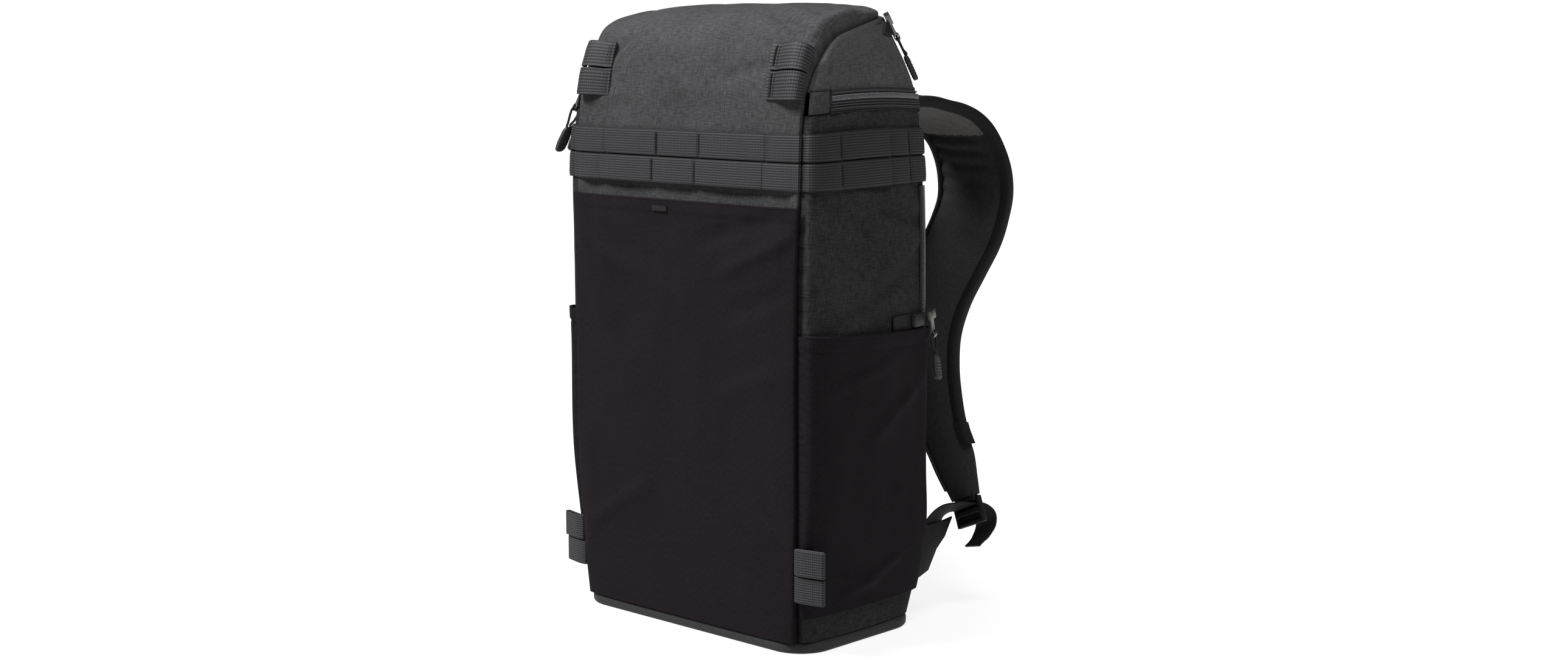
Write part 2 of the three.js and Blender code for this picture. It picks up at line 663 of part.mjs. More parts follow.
// Zip pulls: a slider with its eye, a loop of cord through it and a moulded grip
const kernel = await ManifoldModule();
kernel.setup();
function united(...geometries) {
  const bodies = geometries.map((geometry) => {
    const closed = solid(geometry);
    return new kernel.Manifold(new kernel.Mesh({
      numProp: 3,
      vertProperties: new Float32Array(closed.attributes.position.array),
      triVerts: new Uint32Array(closed.index.array),
    }));
  });
  const mesh = bodies.reduce((whole, body) => whole.add(body)).getMesh();
  return outwards([...mesh.vertProperties], [...mesh.triVerts]);
}
function extruded(points, depth, hole) {
  const shape = new THREE.Shape(points.map(([x, y]) => new THREE.Vector2(x, y)));
  if (hole) shape.holes.push(hole);
  return new THREE.ExtrudeGeometry(shape, { depth, bevelEnabled: false, curveSegments: 6 })
    .translate(0, 0, -depth / 2);
}
const eyeDrop = sliderWidth / 2 + eyeLength;
const eyeMiddle = eyeDrop + 2 * gap; // the cord bends down on both sides of the eye
function sliderBody() {
  const block = new THREE.BoxGeometry(sliderLength, sliderWidth, sliderHeight);
  const thin = pullerThickness / 2;
  const ring = [-120, -80, -40, 0, 40, 80, 120].map((degrees) => {
    const angle = THREE.MathUtils.degToRad(degrees);
    return [eyeMiddle + eyeRadius * 1.35 * Math.cos(angle), eyeRadius * Math.sin(angle)];
  });
  const hole = new THREE.Path();
  hole.absellipse(eyeMiddle, 0, pullCord / 2 + 3.5 * gap, pullCord / 2 + 2 * gap, 0, Math.PI * 2);
  const arm = extruded([[0, thin], [0, -thin], [eyeDrop - eyeRadius, -thin], ...ring,
    [eyeDrop - eyeRadius, thin]], pullerWidth, hole);
  arm.applyMatrix4(new THREE.Matrix4().makeBasis(vector(0, 1, 0), vector(0, 0, 1), vector(1, 0, 0)));
  return united(block, arm);
}
const cordHalf = (pullLoop - pullCord) / 2;
const cordPath = [
  ...[1, 0.75, 0.5, 0.25, 0].map((share) => [
    -mix(cordHalf, pullCord, THREE.MathUtils.smoothstep(share, 0, 1)),
    mix(eyeDrop + cordHalf, pullDrop - gap, share),
  ]),
  ...[150, 120, 90].map((degrees) => {
    const angle = THREE.MathUtils.degToRad(degrees);
    return [cordHalf * Math.cos(angle), eyeDrop + cordHalf * (1 - Math.sin(angle))];
  }),
];
cordPath.push(...cordPath.slice(0, -1).reverse().map(([a, t]) => [-a, t]));
function pullCordBody() {
  const points = cordPath.map(([a, t]) => vector(a, t, 0));
  const stations = points.map((at, i) => {
    const next = points[Math.min(i + 1, points.length - 1)];
    const run = next.clone().sub(points[Math.max(i - 1, 0)]).normalize();
    return { at, across: run.cross(vector(0, 0, 1)), out: vector(0, 0, 1) };
  });
  const section = [0, 1, 2, 3, 4, 5, 6, 7].map((i) => {
    const angle = (i * Math.PI) / 4;
    return [(pullCord / 2) * Math.cos(angle), (pullCord / 2) * Math.sin(angle)];
  });
  return sweep(stations, section);
}
function gripBody() {
  const half = gripWidth / 2;
  const side = [[0.62, 0], [0.8, 0.06], [1, 0.3], [1, 0.8], [0.85, 0.93], [0.5, 1]];
  const right = side.map(([a, t]) => [a * half, pullDrop + t * gripLength]);
  return extruded([...right, ...right.slice().reverse().map(([a, t]) => [-a, t])], gripThickness);
}
// A pull hangs from top to bottom, both points on its middle plane, and outward faces off the bag
function addPull(name, top, bottom, outward) {
  const hang = bottom.clone().sub(top).normalize();
  const along = outward.clone().cross(hang).normalize();
  const basis = new THREE.Matrix4().makeBasis(along, hang, hang.clone().cross(along).negate());
  const place = (geometry) => solid(geometry.applyMatrix4(basis.clone().setPosition(top)));
  add(`${name}_slider`, place(sliderBody()), sliderMetal());
  add(`${name}_cord`, place(pullCordBody()), webbing());
  add(`${name}_grip`, place(gripBody()), gripRubber());
}
const sliderSeat = coilHeight - zipDepth + gap + sliderHeight / 2;
const gripSeat = 2 * gap + webbingThickness + gripThickness / 2 + 1;
const pullFall = pullDrop + gripLength;
for (const [letter, along, lean] of [['a', 0.1, -0.03], ['b', 0.19, -0.04]]) {
  const top = sidePoint(zipHeight + 2, along, sliderSeat);
  const bottom = sidePoint(zipHeight + 2 - pullFall, along + lean, gripSeat + pullSwing);
  addPull(`lid_pull_${letter}`, mirrored(top), mirrored(bottom), vector(-1, 0, 0));
}
const cornerPoint = (height, out) => facePoint(faceRow(rearFace, height), topPullPlace, out);
const topPullHigh = rearEdge.edge.z - sliderWidth / 2;
const topPullLow = cornerPoint(topPullHigh - pullFall * 0.94, gripSeat + pullSwing / 3);
const topPullOut = cornerPoint(topPullHigh, sliderSeat).sub(cornerPoint(topPullHigh, 0));
addPull('top_pull', cornerPoint(topPullHigh, sliderSeat + 1), topPullLow, topPullOut);
const sidePullHigh = sideHemBack + sideZipRise + sliderWidth / 2;
const sidePullTop = sidePoint(sidePullHigh, sideZipPlace, sliderSeat - sideZipLift + zipDepth - 2 * gap);
const sidePullLow = sidePoint(sidePullHigh - pullFall, 1, gripSeat + pocketSlack);
addPull('side_pull', sidePullTop, sidePullLow.add(vector(0, 2, 0)), vector(1, 0.3, 0));

// Shoulder straps. back is the share of strapReach behind the back seam, the two edges are shares of
// strapSide across and of strapTop up, thick is the share of strapThickness.
const strapRows = table(['back', 'outer', 'outerUp', 'inner', 'innerUp', 'thick'], [
  [0.033, 0.8, 0.942, 0.1, 0.942, 0.42],
  [0.082, 0.82, 0.973, 0.12, 0.973, 0.55],
  [0.221, 0.84, 0.999, 0.14, 0.996, 0.9],
  [0.361, 0.85, 1.0, 0.15, 0.999, 1],
  [0.5, 0.863, 0.992, 0.18, 0.988, 1],
  [0.639, 0.888, 0.983, 0.22, 0.97, 1],
  [0.754, 0.916, 0.968, 0.27, 0.946, 1],
  [0.844, 0.942, 0.945, 0.31, 0.921, 1],
  [0.926, 0.97, 0.906, 0.32, 0.883, 1],
  [0.984, 0.995, 0.855, 0.31, 0.837, 1],
  [1.0, 0.995, 0.808, 0.295, 0.795, 1],
  [0.975, 0.98, 0.762, 0.26, 0.754, 1],
  [0.91, 0.967, 0.712, 0.205, 0.699, 1],
  [0.803, 0.921, 0.652, 0.17, 0.644, 1],
  [0.705, 0.868, 0.592, 0.15, 0.587, 1],
  [0.623, 0.859, 0.533, 0.15, 0.53, 1],
  [0.557, 0.907, 0.474, 0.22, 0.474, 1],
  [0.516, 0.974, 0.416, 0.38, 0.412, 1],
  [0.484, 1.062, 0.359, 0.58, 0.345, 0.95],
  [0.467, 1.17, 0.308, 0.74, 0.291, 0.9],
  [0.451, 1.217, 0.268, 0.84, 0.255, 0.8],
  [0.434, 1.26, 0.232, 1.0, 0.203, 0.6],
]);
const strapColumnsAcross = [0, 0.03, 0.12, 0.3, 0.5, 0.7, 0.88, 0.97, 1];
const strapEdges = strapRows.map((row) => {
  const y = backDepth + strapReach * row.back;
  return {
    outer: vector(strapSide * row.outer, y, strapTop * row.outerUp),
    inner: vector(strapSide * row.inner, y, strapTop * row.innerUp),
  };
});
const strapMiddle = ({ outer, inner }) => outer.clone().lerp(inner, 0.5);
function strapGrid(sign) {
  return strapEdges.map((edges, i) => {
    const before = strapMiddle(strapEdges[Math.max(i - 1, 0)]);
    const run = strapMiddle(strapEdges[Math.min(i + 1, strapEdges.length - 1)]).sub(before);
    const off = run.cross(edges.outer.clone().sub(edges.inner)).normalize();
    return strapColumnsAcross.map((share) => {
      const swelling = 1 - Math.abs(2 * share - 1) ** 2.5;
      const thick = mix(strapEdge, strapThickness, swelling) * strapRows[i].thick;
      return edges.inner.clone().lerp(edges.outer, share).addScaledVector(off, (sign * thick) / 2);
    });
  });
}
const strapEnd = strapEdges[strapEdges.length - 1];
const lockAcross = strapEnd.outer.clone().sub(strapEnd.inner).normalize();
const lockDown = strapMiddle(strapEnd).sub(strapMiddle(strapEdges[strapEdges.length - 2]));
lockDown.addScaledVector(lockAcross, -lockDown.dot(lockAcross)).normalize();
const lockOut = lockDown.clone().cross(lockAcross).negate();
const lockLength = 2 * lockRim + 2 * lockSlot + lockBar;
const slotWidth = strapWebbing + 6 * gap;
const lockWidth = slotWidth + 2 * lockRim;
const lockTop = strapMiddle(strapEnd).addScaledVector(lockDown, 2 * gap);
function rectangle(width, low, high) {
  return [[-width / 2, low], [width / 2, low], [width / 2, high], [-width / 2, high]];
}
function ladderLock() {
  const shape = new THREE.Shape(rectangle(lockWidth, 0, lockLength).map(([x, y]) => new THREE.Vector2(x, y)));
  for (const low of [lockRim, lockRim + lockSlot + lockBar]) {
    const hole = rectangle(slotWidth, low, low + lockSlot);
    shape.holes.push(new THREE.Path(hole.map(([x, y]) => new THREE.Vector2(x, y))));
  }
  const plate = new THREE.ExtrudeGeometry(shape, { depth: lockThickness, bevelEnabled: false });
  plate.translate(0, 0, -lockThickness / 2);
  return plate.applyMatrix4(
    new THREE.Matrix4().makeBasis(lockAcross, lockDown, lockOut).setPosition(lockTop));
}
const slotPoint = lockTop.clone().addScaledVector(lockDown, lockRim + lockSlot / 2);
// The adjusting strap, its middle line measured from the lock's upper slot in shares of its width
const webbingPath = table(['x', 'y', 'z', 'twist'], [
  [-0.56, -1.7, -0.9, 0],
  [-0.56, -1.4, -0.525, 0.1],
  [-0.485, -1.025, -0.15, 0.4],
  [-0.285, -0.55, 0.01, 0.75],
  [-0.01, -0.175, 0.02, 1],
  [0.01, 0.175, -0.02, 1],
  [0.16, 0.55, -0.175, 1],
  [0.205, 0.825, -0.45, 1],
  [0.19, 0.875, -0.85, 1],
  [0.14, 0.625, -1.3, 1],
  [0.08, 0.2, -1.6, 1],
]);
function strapRibbon() {
  const points = webbingPath.map(({ x, y, z }) =>
    slotPoint.clone().addScaledVector(vector(x, y, z), strapWebbing));
  const grids = [[], []];
  points.forEach((at, i) => {
    const before = points[Math.max(i - 1, 0)];
    const run = points[Math.min(i + 1, points.length - 1)].clone().sub(before).normalize();
    const across = vector(0, -0.75, 0.66).lerp(lockAcross, webbingPath[i].twist);
    across.addScaledVector(run, -across.dot(run)).normalize();
    const out = run.clone().cross(across).normalize();
    [1, -1].forEach((sign, layer) => grids[layer].push([-0.5, 0, 0.5].map((share) =>
      at.clone().addScaledVector(across, share * strapWebbing)
        .addScaledVector(out, (sign * webbingThickness) / 2))));
  });
  return grids;
}
// The cloth wing that ties the strap's webbing to the back panel, in shares of its reach and height
const wingOutline = table(['back', 'height'], [
  [0.326, 0.972],
  [0.605, 0.972],
  [1, 1],
  [0.791, 0.803],
  [0.558, 0.69],
  [0.326, 0.479],
]);
const wingRoot = [0.394, 0.563, 0.775, 1.028];
function wing() {
  const wingSide = slotPoint.x - wingFromSlot;
  const wingHeight = slotPoint.z - wingBelowSlot;
  const share = (wingSide + wingThickness / 2) / (halfWidth * bodyRows[3].backSide);
  const root = wingRoot.map((climb) => {
    const row = faceRow(backFace, climb * wingHeight);
    return [facePoint(row, share, 2.5 * gap).y, climb * wingHeight];
  });
  const outline = [
    ...root,
    ...wingOutline.map(({ back, height }) => [backDepth + back * wingReach, height * wingHeight]),
  ];
  const cloth = extruded(outline, wingThickness);
  return cloth.applyMatrix4(new THREE.Matrix4()
    .makeBasis(vector(0, 1, 0), vector(0, 0, 1), vector(1, 0, 0)).setPosition(wingSide, 0, 0));
}
for (const [hand, side] of sides) {
  addWall(`shoulder_strap_${hand}`, [strapGrid(1), strapGrid(-1)], shellCloth(), side);
  add(`ladder_lock_${hand}`, solid(ladderLock(), side), blackPlastic());
  addWall(`strap_webbing_${hand}`, strapRibbon(), webbing(), side);
  add(`strap_wing_${hand}`, solid(wing(), side), webbing());
}

export default backpack;
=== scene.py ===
import math
import random

import bmesh
import bpy
from mathutils import Matrix, Vector, noise


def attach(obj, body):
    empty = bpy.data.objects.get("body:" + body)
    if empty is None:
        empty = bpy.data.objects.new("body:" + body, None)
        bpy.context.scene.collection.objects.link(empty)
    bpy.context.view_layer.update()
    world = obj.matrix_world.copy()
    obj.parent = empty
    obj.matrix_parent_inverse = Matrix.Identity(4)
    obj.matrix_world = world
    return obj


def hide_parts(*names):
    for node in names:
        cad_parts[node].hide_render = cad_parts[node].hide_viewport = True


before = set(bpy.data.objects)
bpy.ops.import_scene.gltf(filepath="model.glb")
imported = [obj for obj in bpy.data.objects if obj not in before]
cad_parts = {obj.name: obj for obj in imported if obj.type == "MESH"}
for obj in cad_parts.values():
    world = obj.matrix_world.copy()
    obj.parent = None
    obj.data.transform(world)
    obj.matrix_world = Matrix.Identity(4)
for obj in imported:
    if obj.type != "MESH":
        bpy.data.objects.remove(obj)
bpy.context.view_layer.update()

random.seed(11)

# camera, world and lights
cameraSettings = {"at": (1.10008, -1.14287, 0.4407), "azimuth": 42.87, "pitch": 7.97, "lens": 48.675}
lightSettings = {
    "key": {"at": (-1.15, -2.0, 2.9), "aim": (0, 0, 0.3), "size": 1.2, "power": 225},
    "top": {"at": (0.9, -0.3, 2.5), "aim": (0, 0, 0.3), "size": 1.2, "power": 50},
}
# the floor glows, lighting the bag from below; its glow is lower near the bag and rises to farGlow between near and
# far metres from the middle: painted shadow around the base
floorSettings = {"size": 6.0, "color": (0.14, 0.14, 0.14), "shadowedGlow": 0.85, "farGlow": 1.0, "near": 0.14, "far": 0.34}


def makeCamera():
    data = bpy.data.cameras.new("camera")
    camera = bpy.data.objects.new("camera", data)
    bpy.context.collection.objects.link(camera)
    turn, dip = math.radians(cameraSettings["azimuth"]), math.radians(cameraSettings["pitch"])
    look = Vector((-math.sin(turn) * math.cos(dip), math.cos(turn) * math.cos(dip), -math.sin(dip)))
    camera.location = cameraSettings["at"]
    camera.rotation_euler = look.to_track_quat("-Z", "Y").to_euler()
    data.sensor_fit = "HORIZONTAL"
    data.sensor_width = 36
    data.lens = cameraSettings["lens"]
    data.clip_start, data.clip_end = 0.05, 60
    bpy.context.scene.camera = camera


def makeLight(name, settings):
    data = bpy.data.lights.new(name, "AREA")
    data.shape = "DISK"
    data.size = settings["size"]
    data.energy = settings["power"]
    light = bpy.data.objects.new(name, data)
    bpy.context.collection.objects.link(light)
    light.location = settings["at"]
    aim = Vector(settings["aim"]) - Vector(settings["at"])
    light.rotation_euler = aim.to_track_quat("-Z", "Y").to_euler()


def makeWorld():
    world = bpy.data.worlds.new("studio")
    bpy.context.scene.world = world
    world.use_nodes = True
    nodes, links = world.node_tree.nodes, world.node_tree.links
    nodes.clear()
    out = nodes.new("ShaderNodeOutputWorld")
    seen, lit = nodes.new("ShaderNodeBackground"), nodes.new("ShaderNodeBackground")
    mix, path = nodes.new("ShaderNodeMixShader"), nodes.new("ShaderNodeLightPath")
    seen.inputs["Color"].default_value = (1, 1, 1, 1)
    seen.inputs["Strength"].default_value = 1.05
    lit.inputs["Color"].default_value = (1, 1, 1, 1)
    lit.inputs["Strength"].default_value = 0.05
    links.new(path.outputs["Is Camera Ray"], mix.inputs[0])
    links.new(lit.outputs[0], mix.inputs[1])
    links.new(seen.outputs[0], mix.inputs[2])
    links.new(mix.outputs[0], out.inputs["Surface"])


makeCamera()
makeWorld()
for lightName, settings in lightSettings.items():
    makeLight(lightName, settings)
bpy.context.scene.view_settings.view_transform = "Standard"
print("camera and lights ready")


# materials
def newMaterial(name):
    material = bpy.data.materials.new(name)
    material.use_nodes = True
    tree = material.node_tree
    shader = tree.nodes["Principled BSDF"]
    return material, tree, shader


def addNode(tree, kind, **sockets):
    node = tree.nodes.new(kind)
    for name, value in sockets.items():
        node.inputs[name.replace("_", " ")].default_value = value
    return node


def mixColors(tree, amount, low, high, blend="MIX"):
    node = tree.nodes.new("ShaderNodeMix")
    node.data_type = "RGBA"
    node.blend_type = blend
    for index, value in ((0, amount), (6, low), (7, high)):
        if isinstance(value, (int, float)):
            node.inputs[index].default_value = value
        elif isinstance(value, tuple):
            node.inputs[index].default_value = (*value, 1)
        else:
            tree.links.new(value, node.inputs[index])
    return node.outputs[2]


def patternSpace(tree, source, scale):
    coords = tree.nodes.new("ShaderNodeTexCoord")
    mapping = tree.nodes.new("ShaderNodeMapping")
    mapping.inputs["Scale"].default_value = scale
    tree.links.new(coords.outputs[source], mapping.inputs["Vector"])
    return mapping.outputs[0]


def noiseAt(tree, space, scale, detail=2.0, roughness=0.5):
    node = addNode(tree, "ShaderNodeTexNoise", Scale=scale, Detail=detail, Roughness=roughness)
    tree.links.new(space, node.inputs["Vector"])
    return node.outputs["Fac"]


def ramp(tree, value, low, high, lowTo=0.0, highTo=1.0):
    node = tree.nodes.new("ShaderNodeMapRange")
    for name, number in (("From Min", low), ("From Max", high), ("To Min", lowTo), ("To Max", highTo)):
        node.inputs[name].default_value = number
    tree.links.new(value, node.inputs["Value"])
    return node.outputs[0]


def calculate(tree, operation, first, second):
    node = tree.nodes.new("ShaderNodeMath")
    node.operation = operation
    for index, value in enumerate((first, second)):
        if isinstance(value, (int, float)):
            node.inputs[index].default_value = value
        else:
            tree.links.new(value, node.inputs[index])
    return node.outputs[0]


def bumpFrom(tree, height, strength, distance, before=None):
    node = addNode(tree, "ShaderNodeBump", Strength=strength, Distance=distance)
    tree.links.new(height, node.inputs["Height"])
    if before is not None:
        tree.links.new(before, node.inputs["Normal"])
    return node.outputs[0]


def setSheen(shader, weight, roughness, tint):
    shader.inputs["Sheen Weight"].default_value = weight
    shader.inputs["Sheen Roughness"].default_value = roughness
    shader.inputs["Sheen Tint"].default_value = (*tint, 1)


# woven cloth: warp and weft flecks along the piece's own UV, in millimetres
clothSettings = {
    "shellFront": {"dark": (0.024, 0.0242, 0.0253), "light": (0.050, 0.0502, 0.0520), "sheen": 0.01},
    # the side panels' copy of the shell cloth is darker than the front's: painted shade on the sides that face away
    # from the key lamp
    "shadedShellSide": {"dark": (0.010, 0.0101, 0.0108), "light": (0.027, 0.0272, 0.0286), "sheen": 0.01},
    # the gussets' copy of the shell cloth is lighter than the front's: painted light where the top lamp falls on them
    "gusset": {"dark": (0.034, 0.0342, 0.0355), "light": (0.066, 0.0662, 0.0685), "sheen": 0.01},
    "lining": {"dark": (0.070, 0.064, 0.060), "light": (0.115, 0.106, 0.100), "sheen": 0.05},
    "strapCloth": {"dark": (0.017, 0.0166, 0.0168), "light": (0.031, 0.0304, 0.0306), "sheen": 0.02},
    "backCloth": {"dark": (0.03, 0.03, 0.032), "light": (0.07, 0.07, 0.074), "sheen": 0.1},
}


def wovenCloth(name, settings, fleck=1.0, weave=0.75):
    material, tree, shader = newMaterial(name)
    space = patternSpace(tree, "UV", (1000, 1000, 1000))
    warp = patternSpace(tree, "UV", (1000 / fleck, 1000 / (fleck * 7), 1000))
    weft = patternSpace(tree, "UV", (1000 / (fleck * 7), 1000 / fleck, 1000))
    flecks = calculate(tree, "ADD", noiseAt(tree, warp, 1.0, 1.5), noiseAt(tree, weft, 1.0, 1.5))
    flecks = ramp(tree, flecks, 0.72, 1.28)
    patches = ramp(tree, noiseAt(tree, space, 0.022, 3), 0.35, 0.65, -0.12, 0.12)
    tone = calculate(tree, "ADD", flecks, patches)
    color = mixColors(tree, tone, settings["dark"], settings["light"])
    tree.links.new(color, shader.inputs["Base Color"])
    threads = tree.nodes.new("ShaderNodeTexChecker")
    threads.inputs["Scale"].default_value = 1 / weave
    tree.links.new(space, threads.inputs["Vector"])
    fine = bumpFrom(tree, threads.outputs["Fac"], 0.25, 0.0001)
    tree.links.new(bumpFrom(tree, flecks, 0.45, 0.00018, fine), shader.inputs["Normal"])
    shader.inputs["Roughness"].default_value = 0.82
    shader.inputs["Specular IOR Level"].default_value = 0.07
    setSheen(shader, settings["sheen"], 0.45, (0.8, 0.8, 0.85))
    return material


def stretchKnit(name):
    material, tree, shader = newMaterial(name)
    space = patternSpace(tree, "UV", (1000, 1000, 1000))
    rows = patternSpace(tree, "UV", (1000 / 0.9, 1000 / 3.0, 1000))
    knit = ramp(tree, noiseAt(tree, rows, 1.0, 1.5), 0.3, 0.7)
    patches = ramp(tree, noiseAt(tree, space, 0.018, 3), 0.3, 0.7, -0.15, 0.15)
    tone = calculate(tree, "ADD", knit, patches)
    color = mixColors(tree, tone, (0.0054, 0.0040, 0.0052), (0.0094, 0.0070, 0.0089))
    tree.links.new(color, shader.inputs["Base Color"])
    tree.links.new(bumpFrom(tree, knit, 0.3, 0.0001), shader.inputs["Normal"])
    shader.inputs["Roughness"].default_value = 0.78
    shader.inputs["Specular IOR Level"].default_value = 0.06
    setSheen(shader, 0.008, 0.5, (0.9, 0.78, 0.88))
    return material


def ribbedWebbing(name, dark=(0.005, 0.005, 0.0054), light=(0.052, 0.052, 0.056), ribs=1.8):
    material, tree, shader = newMaterial(name)
    space = patternSpace(tree, "UV", (1000, 1000, 1000))
    split = tree.nodes.new("ShaderNodeSeparateXYZ")
    tree.links.new(space, split.inputs[0])
    ribWave = calculate(tree, "SINE", calculate(tree, "MULTIPLY", split.outputs[1], 2 * math.pi / ribs), 0)
    pickWave = calculate(tree, "SINE", calculate(tree, "MULTIPLY", split.outputs[0], 2 * math.pi / 1.5), 0)
    grain = noiseAt(tree, space, 1.1, 2)
    picks, ridges = ramp(tree, pickWave, -1, 1, 0.45, 1.0), ramp(tree, ribWave, -1, 1, 0.15, 1.0)
    crossing = calculate(tree, "MULTIPLY", picks, ridges)
    # the colour follows the ribs' relief: the weave's pattern, with painted shade in the grooves and painted
    # highlight on the ridge tops
    tone = calculate(tree, "MULTIPLY", crossing, ramp(tree, grain, 0.25, 0.75, 0.7, 1.15))
    tree.links.new(mixColors(tree, tone, dark, light), shader.inputs["Base Color"])
    tree.links.new(bumpFrom(tree, crossing, 0.8, 0.0003), shader.inputs["Normal"])
    shader.inputs["Roughness"].default_value = 0.6
    shader.inputs["Specular IOR Level"].default_value = 0.18
    setSheen(shader, 0.01, 0.4, (0.8, 0.8, 0.85))
    return material


def plainFinish(name, color, roughness, metallic=0.0, grain=0.02, scratch=900.0, bump=0.1, specular=0.5):
    material, tree, shader = newMaterial(name)
    space = patternSpace(tree, "Object", (1, 1, 1))
    marks = noiseAt(tree, space, scratch, 3)
    light = tuple(min(1, c * (1 + grain * 12)) for c in color)
    tree.links.new(mixColors(tree, ramp(tree, marks, 0.3, 0.7), color, light), shader.inputs["Base Color"])
    tree.links.new(ramp(tree, marks, 0.3, 0.7, roughness - 0.06, roughness + 0.08), shader.inputs["Roughness"])
    tree.links.new(bumpFrom(tree, marks, bump, 0.0002), shader.inputs["Normal"])
    shader.inputs["Metallic"].default_value = metallic
    shader.inputs["Specular IOR Level"].default_value = specular
    return material


shellFrontCloth = wovenCloth("shellFrontCloth", clothSettings["shellFront"])
# the same shell cloth darkened for the side panels and the lower zip edge: painted shade
shadedShellSideCloth = wovenCloth("shadedShellSideCloth", clothSettings["shadedShellSide"])
# the same shell cloth lightened for the lid gussets: painted light
litGussetCloth = wovenCloth("litGussetCloth", clothSettings["gusset"])
liningCloth = wovenCloth("liningCloth", clothSettings["lining"])
strapCloth = wovenCloth("strapCloth", clothSettings["strapCloth"], fleck=0.7)
backCloth = wovenCloth("backCloth", clothSettings["backCloth"], fleck=1.6, weave=2.4)
pocketKnit = stretchKnit("pocketKnit")
bagWebbing = ribbedWebbing("bagWebbing")
# the side webbing is a darker copy of the front webbing: painted shade on the sides away from the key lamp
shadedSideWebbing = ribbedWebbing("shadedSideWebbing", (0.004, 0.004, 0.0043), (0.037, 0.037, 0.040))
darkWebbing = ribbedWebbing("darkWebbing", (0.003, 0.003, 0.0032), (0.012, 0.012, 0.013))
tapeCloth = ribbedWebbing("tapeCloth", (0.020, 0.020, 0.021), (0.062, 0.062, 0.065), 0.9)
bindingCloth = ribbedWebbing("bindingCloth", (0.012, 0.012, 0.013), (0.04, 0.04, 0.042), 0.8)
coilNylon = plainFinish("coilNylon", (0.085, 0.085, 0.09), 0.28, specular=0.8)
threadFinish = plainFinish("thread", (0.007, 0.007, 0.0075), 0.6, specular=0.2)
sliderMetal = plainFinish("sliderMetal", (0.12, 0.114, 0.105), 0.36, metallic=1.0)
pullCordFinish = plainFinish("pullCord", (0.012, 0.012, 0.0125), 0.75, scratch=900.0, bump=0.2, specular=0.2)
gripRubber = plainFinish("gripRubber", (0.016, 0.0165, 0.0175), 0.5, specular=0.25)
blackPlastic = plainFinish("blackPlastic", (0.006, 0.006, 0.0063), 0.42, specular=0.25)
floorGlowWithShadow = plainFinish("floorGlowWithShadow", floorSettings["color"], 0.9, grain=0.0, scratch=3.0, bump=0.0, specular=0.0)
floorShader = floorGlowWithShadow.node_tree.nodes["Principled BSDF"]
floorShader.inputs["Emission Color"].default_value = (1, 1, 1, 1)
floorTree = floorGlowWithShadow.node_tree
# glow strength falls towards the bag's middle: painted shadow on the floor beside the base
away = floorTree.nodes.new("ShaderNodeVectorMath")
away.operation = "LENGTH"
floorTree.links.new(patternSpace(floorTree, "Object", (1, 1, 1)), away.inputs[0])
shadowedGlow = ramp(floorTree, away.outputs["Value"], *(floorSettings[key] for key in ("near", "far", "shadowedGlow", "farGlow")))
floorTree.links.new(shadowedGlow, floorShader.inputs["Emission Strength"])
print("materials ready")

# the bag's surfaces, in millimetres
bag = {
    "halfWidth": 119, "halfDepth": 66, "backDepth": 74, "bottom": 8.6, "slot": 384, "zip": 394, "lid": 68,
    "sideBulge": 16, "lidBulge": 9, "backCrown": 6, "zipArch": 2.5, "lidCorner": 3.2, "rearCorner": 4, "gap": 0.3,
}
# height, side, front, middle, corner, backSide, back, crown, bulge, round, skew, arch
bodyRows = [
    (0.0, 0.899, 0.898, 0.985, 5, 0.899, 0.801, 0.9, 0.68, 3.0, 0.0, 0),
    (0.065, 0.912, 0.924, 1.008, 5, 0.924, 0.892, 1, 0.66, 3.0, 0.2, 0),
    (0.177, 0.929, 0.962, 1.03, 5, 0.941, 0.99, 1, 0.84, 3.5, 0.5, 0),
    (0.283, 0.941, 0.985, 1.045, 5, 0.941, 1.0, 1, 1.0, 4.0, 0.8, 0),
    (0.537, 0.944, 0.994, 1.053, 5, 0.941, 1.0, 1, 1.0, 4.0, 0.8, 0),
    (0.75, 0.954, 0.992, 1.038, 5, 0.941, 0.993, 1, 0.95, 4.0, 0.8, 0),
    (0.856, 0.966, 0.985, 1.023, 5, 0.937, 0.977, 1, 0.9, 4.0, 0.8, 0),
    (1.0, 0.966, 0.932, 1.0, 4.5, 0.929, 0.922, 0.9, 0.62, 4.0, 0.8, 1),
]
# height, side, front, top, middle, rearHeight, rearSide, rear, rearTop, rearMiddle, bulge, arch
lidRows = [
    (0.088, 0.966, 0.882, 0.105, 0.985, 0.088, 0.916, 0.869, 0.088, 0.932, 1.0, 1),
    (0.176, 0.966, 0.841, 0.22, 0.97, 0.162, 0.916, 0.831, 0.17, 0.9, 0.95, 0.8),
    (0.279, 0.962, 0.773, 0.368, 0.939, 0.265, 0.91, 0.784, 0.285, 0.845, 0.85, 0.5),
    (0.456, 0.958, 0.636, 0.588, 0.871, 0.412, 0.9, 0.716, 0.44, 0.777, 0.7, 0.2),
    (0.574, 0.95, 0.508, 0.75, 0.758, 0.515, 0.89, 0.668, 0.56, 0.716, 0.55, 0),
    (0.647, 0.94, 0.379, 0.853, 0.606, 0.588, 0.886, 0.622, 0.65, 0.669, 0.4, 0),
    (0.713, 0.916, 0.121, 0.941, 0.333, 0.647, 0.882, 0.588, 0.73, 0.622, 0.25, 0),
    (0.779, 0.89, -0.182, 0.993, -0.03, 0.721, 0.874, 0.554, 0.83, 0.568, 0.12, 0),
    (0.846, 0.866, -0.485, 0.993, -0.5, 0.779, 0.866, 0.54, 0.9, 0.524, 0, 0),
]


def blend(a, b, share):
    return a + (b - a) * share


def smoothstep(low, high, value):
    share = min(max((value - low) / (high - low), 0), 1)
    return share * share * (3 - 2 * share)


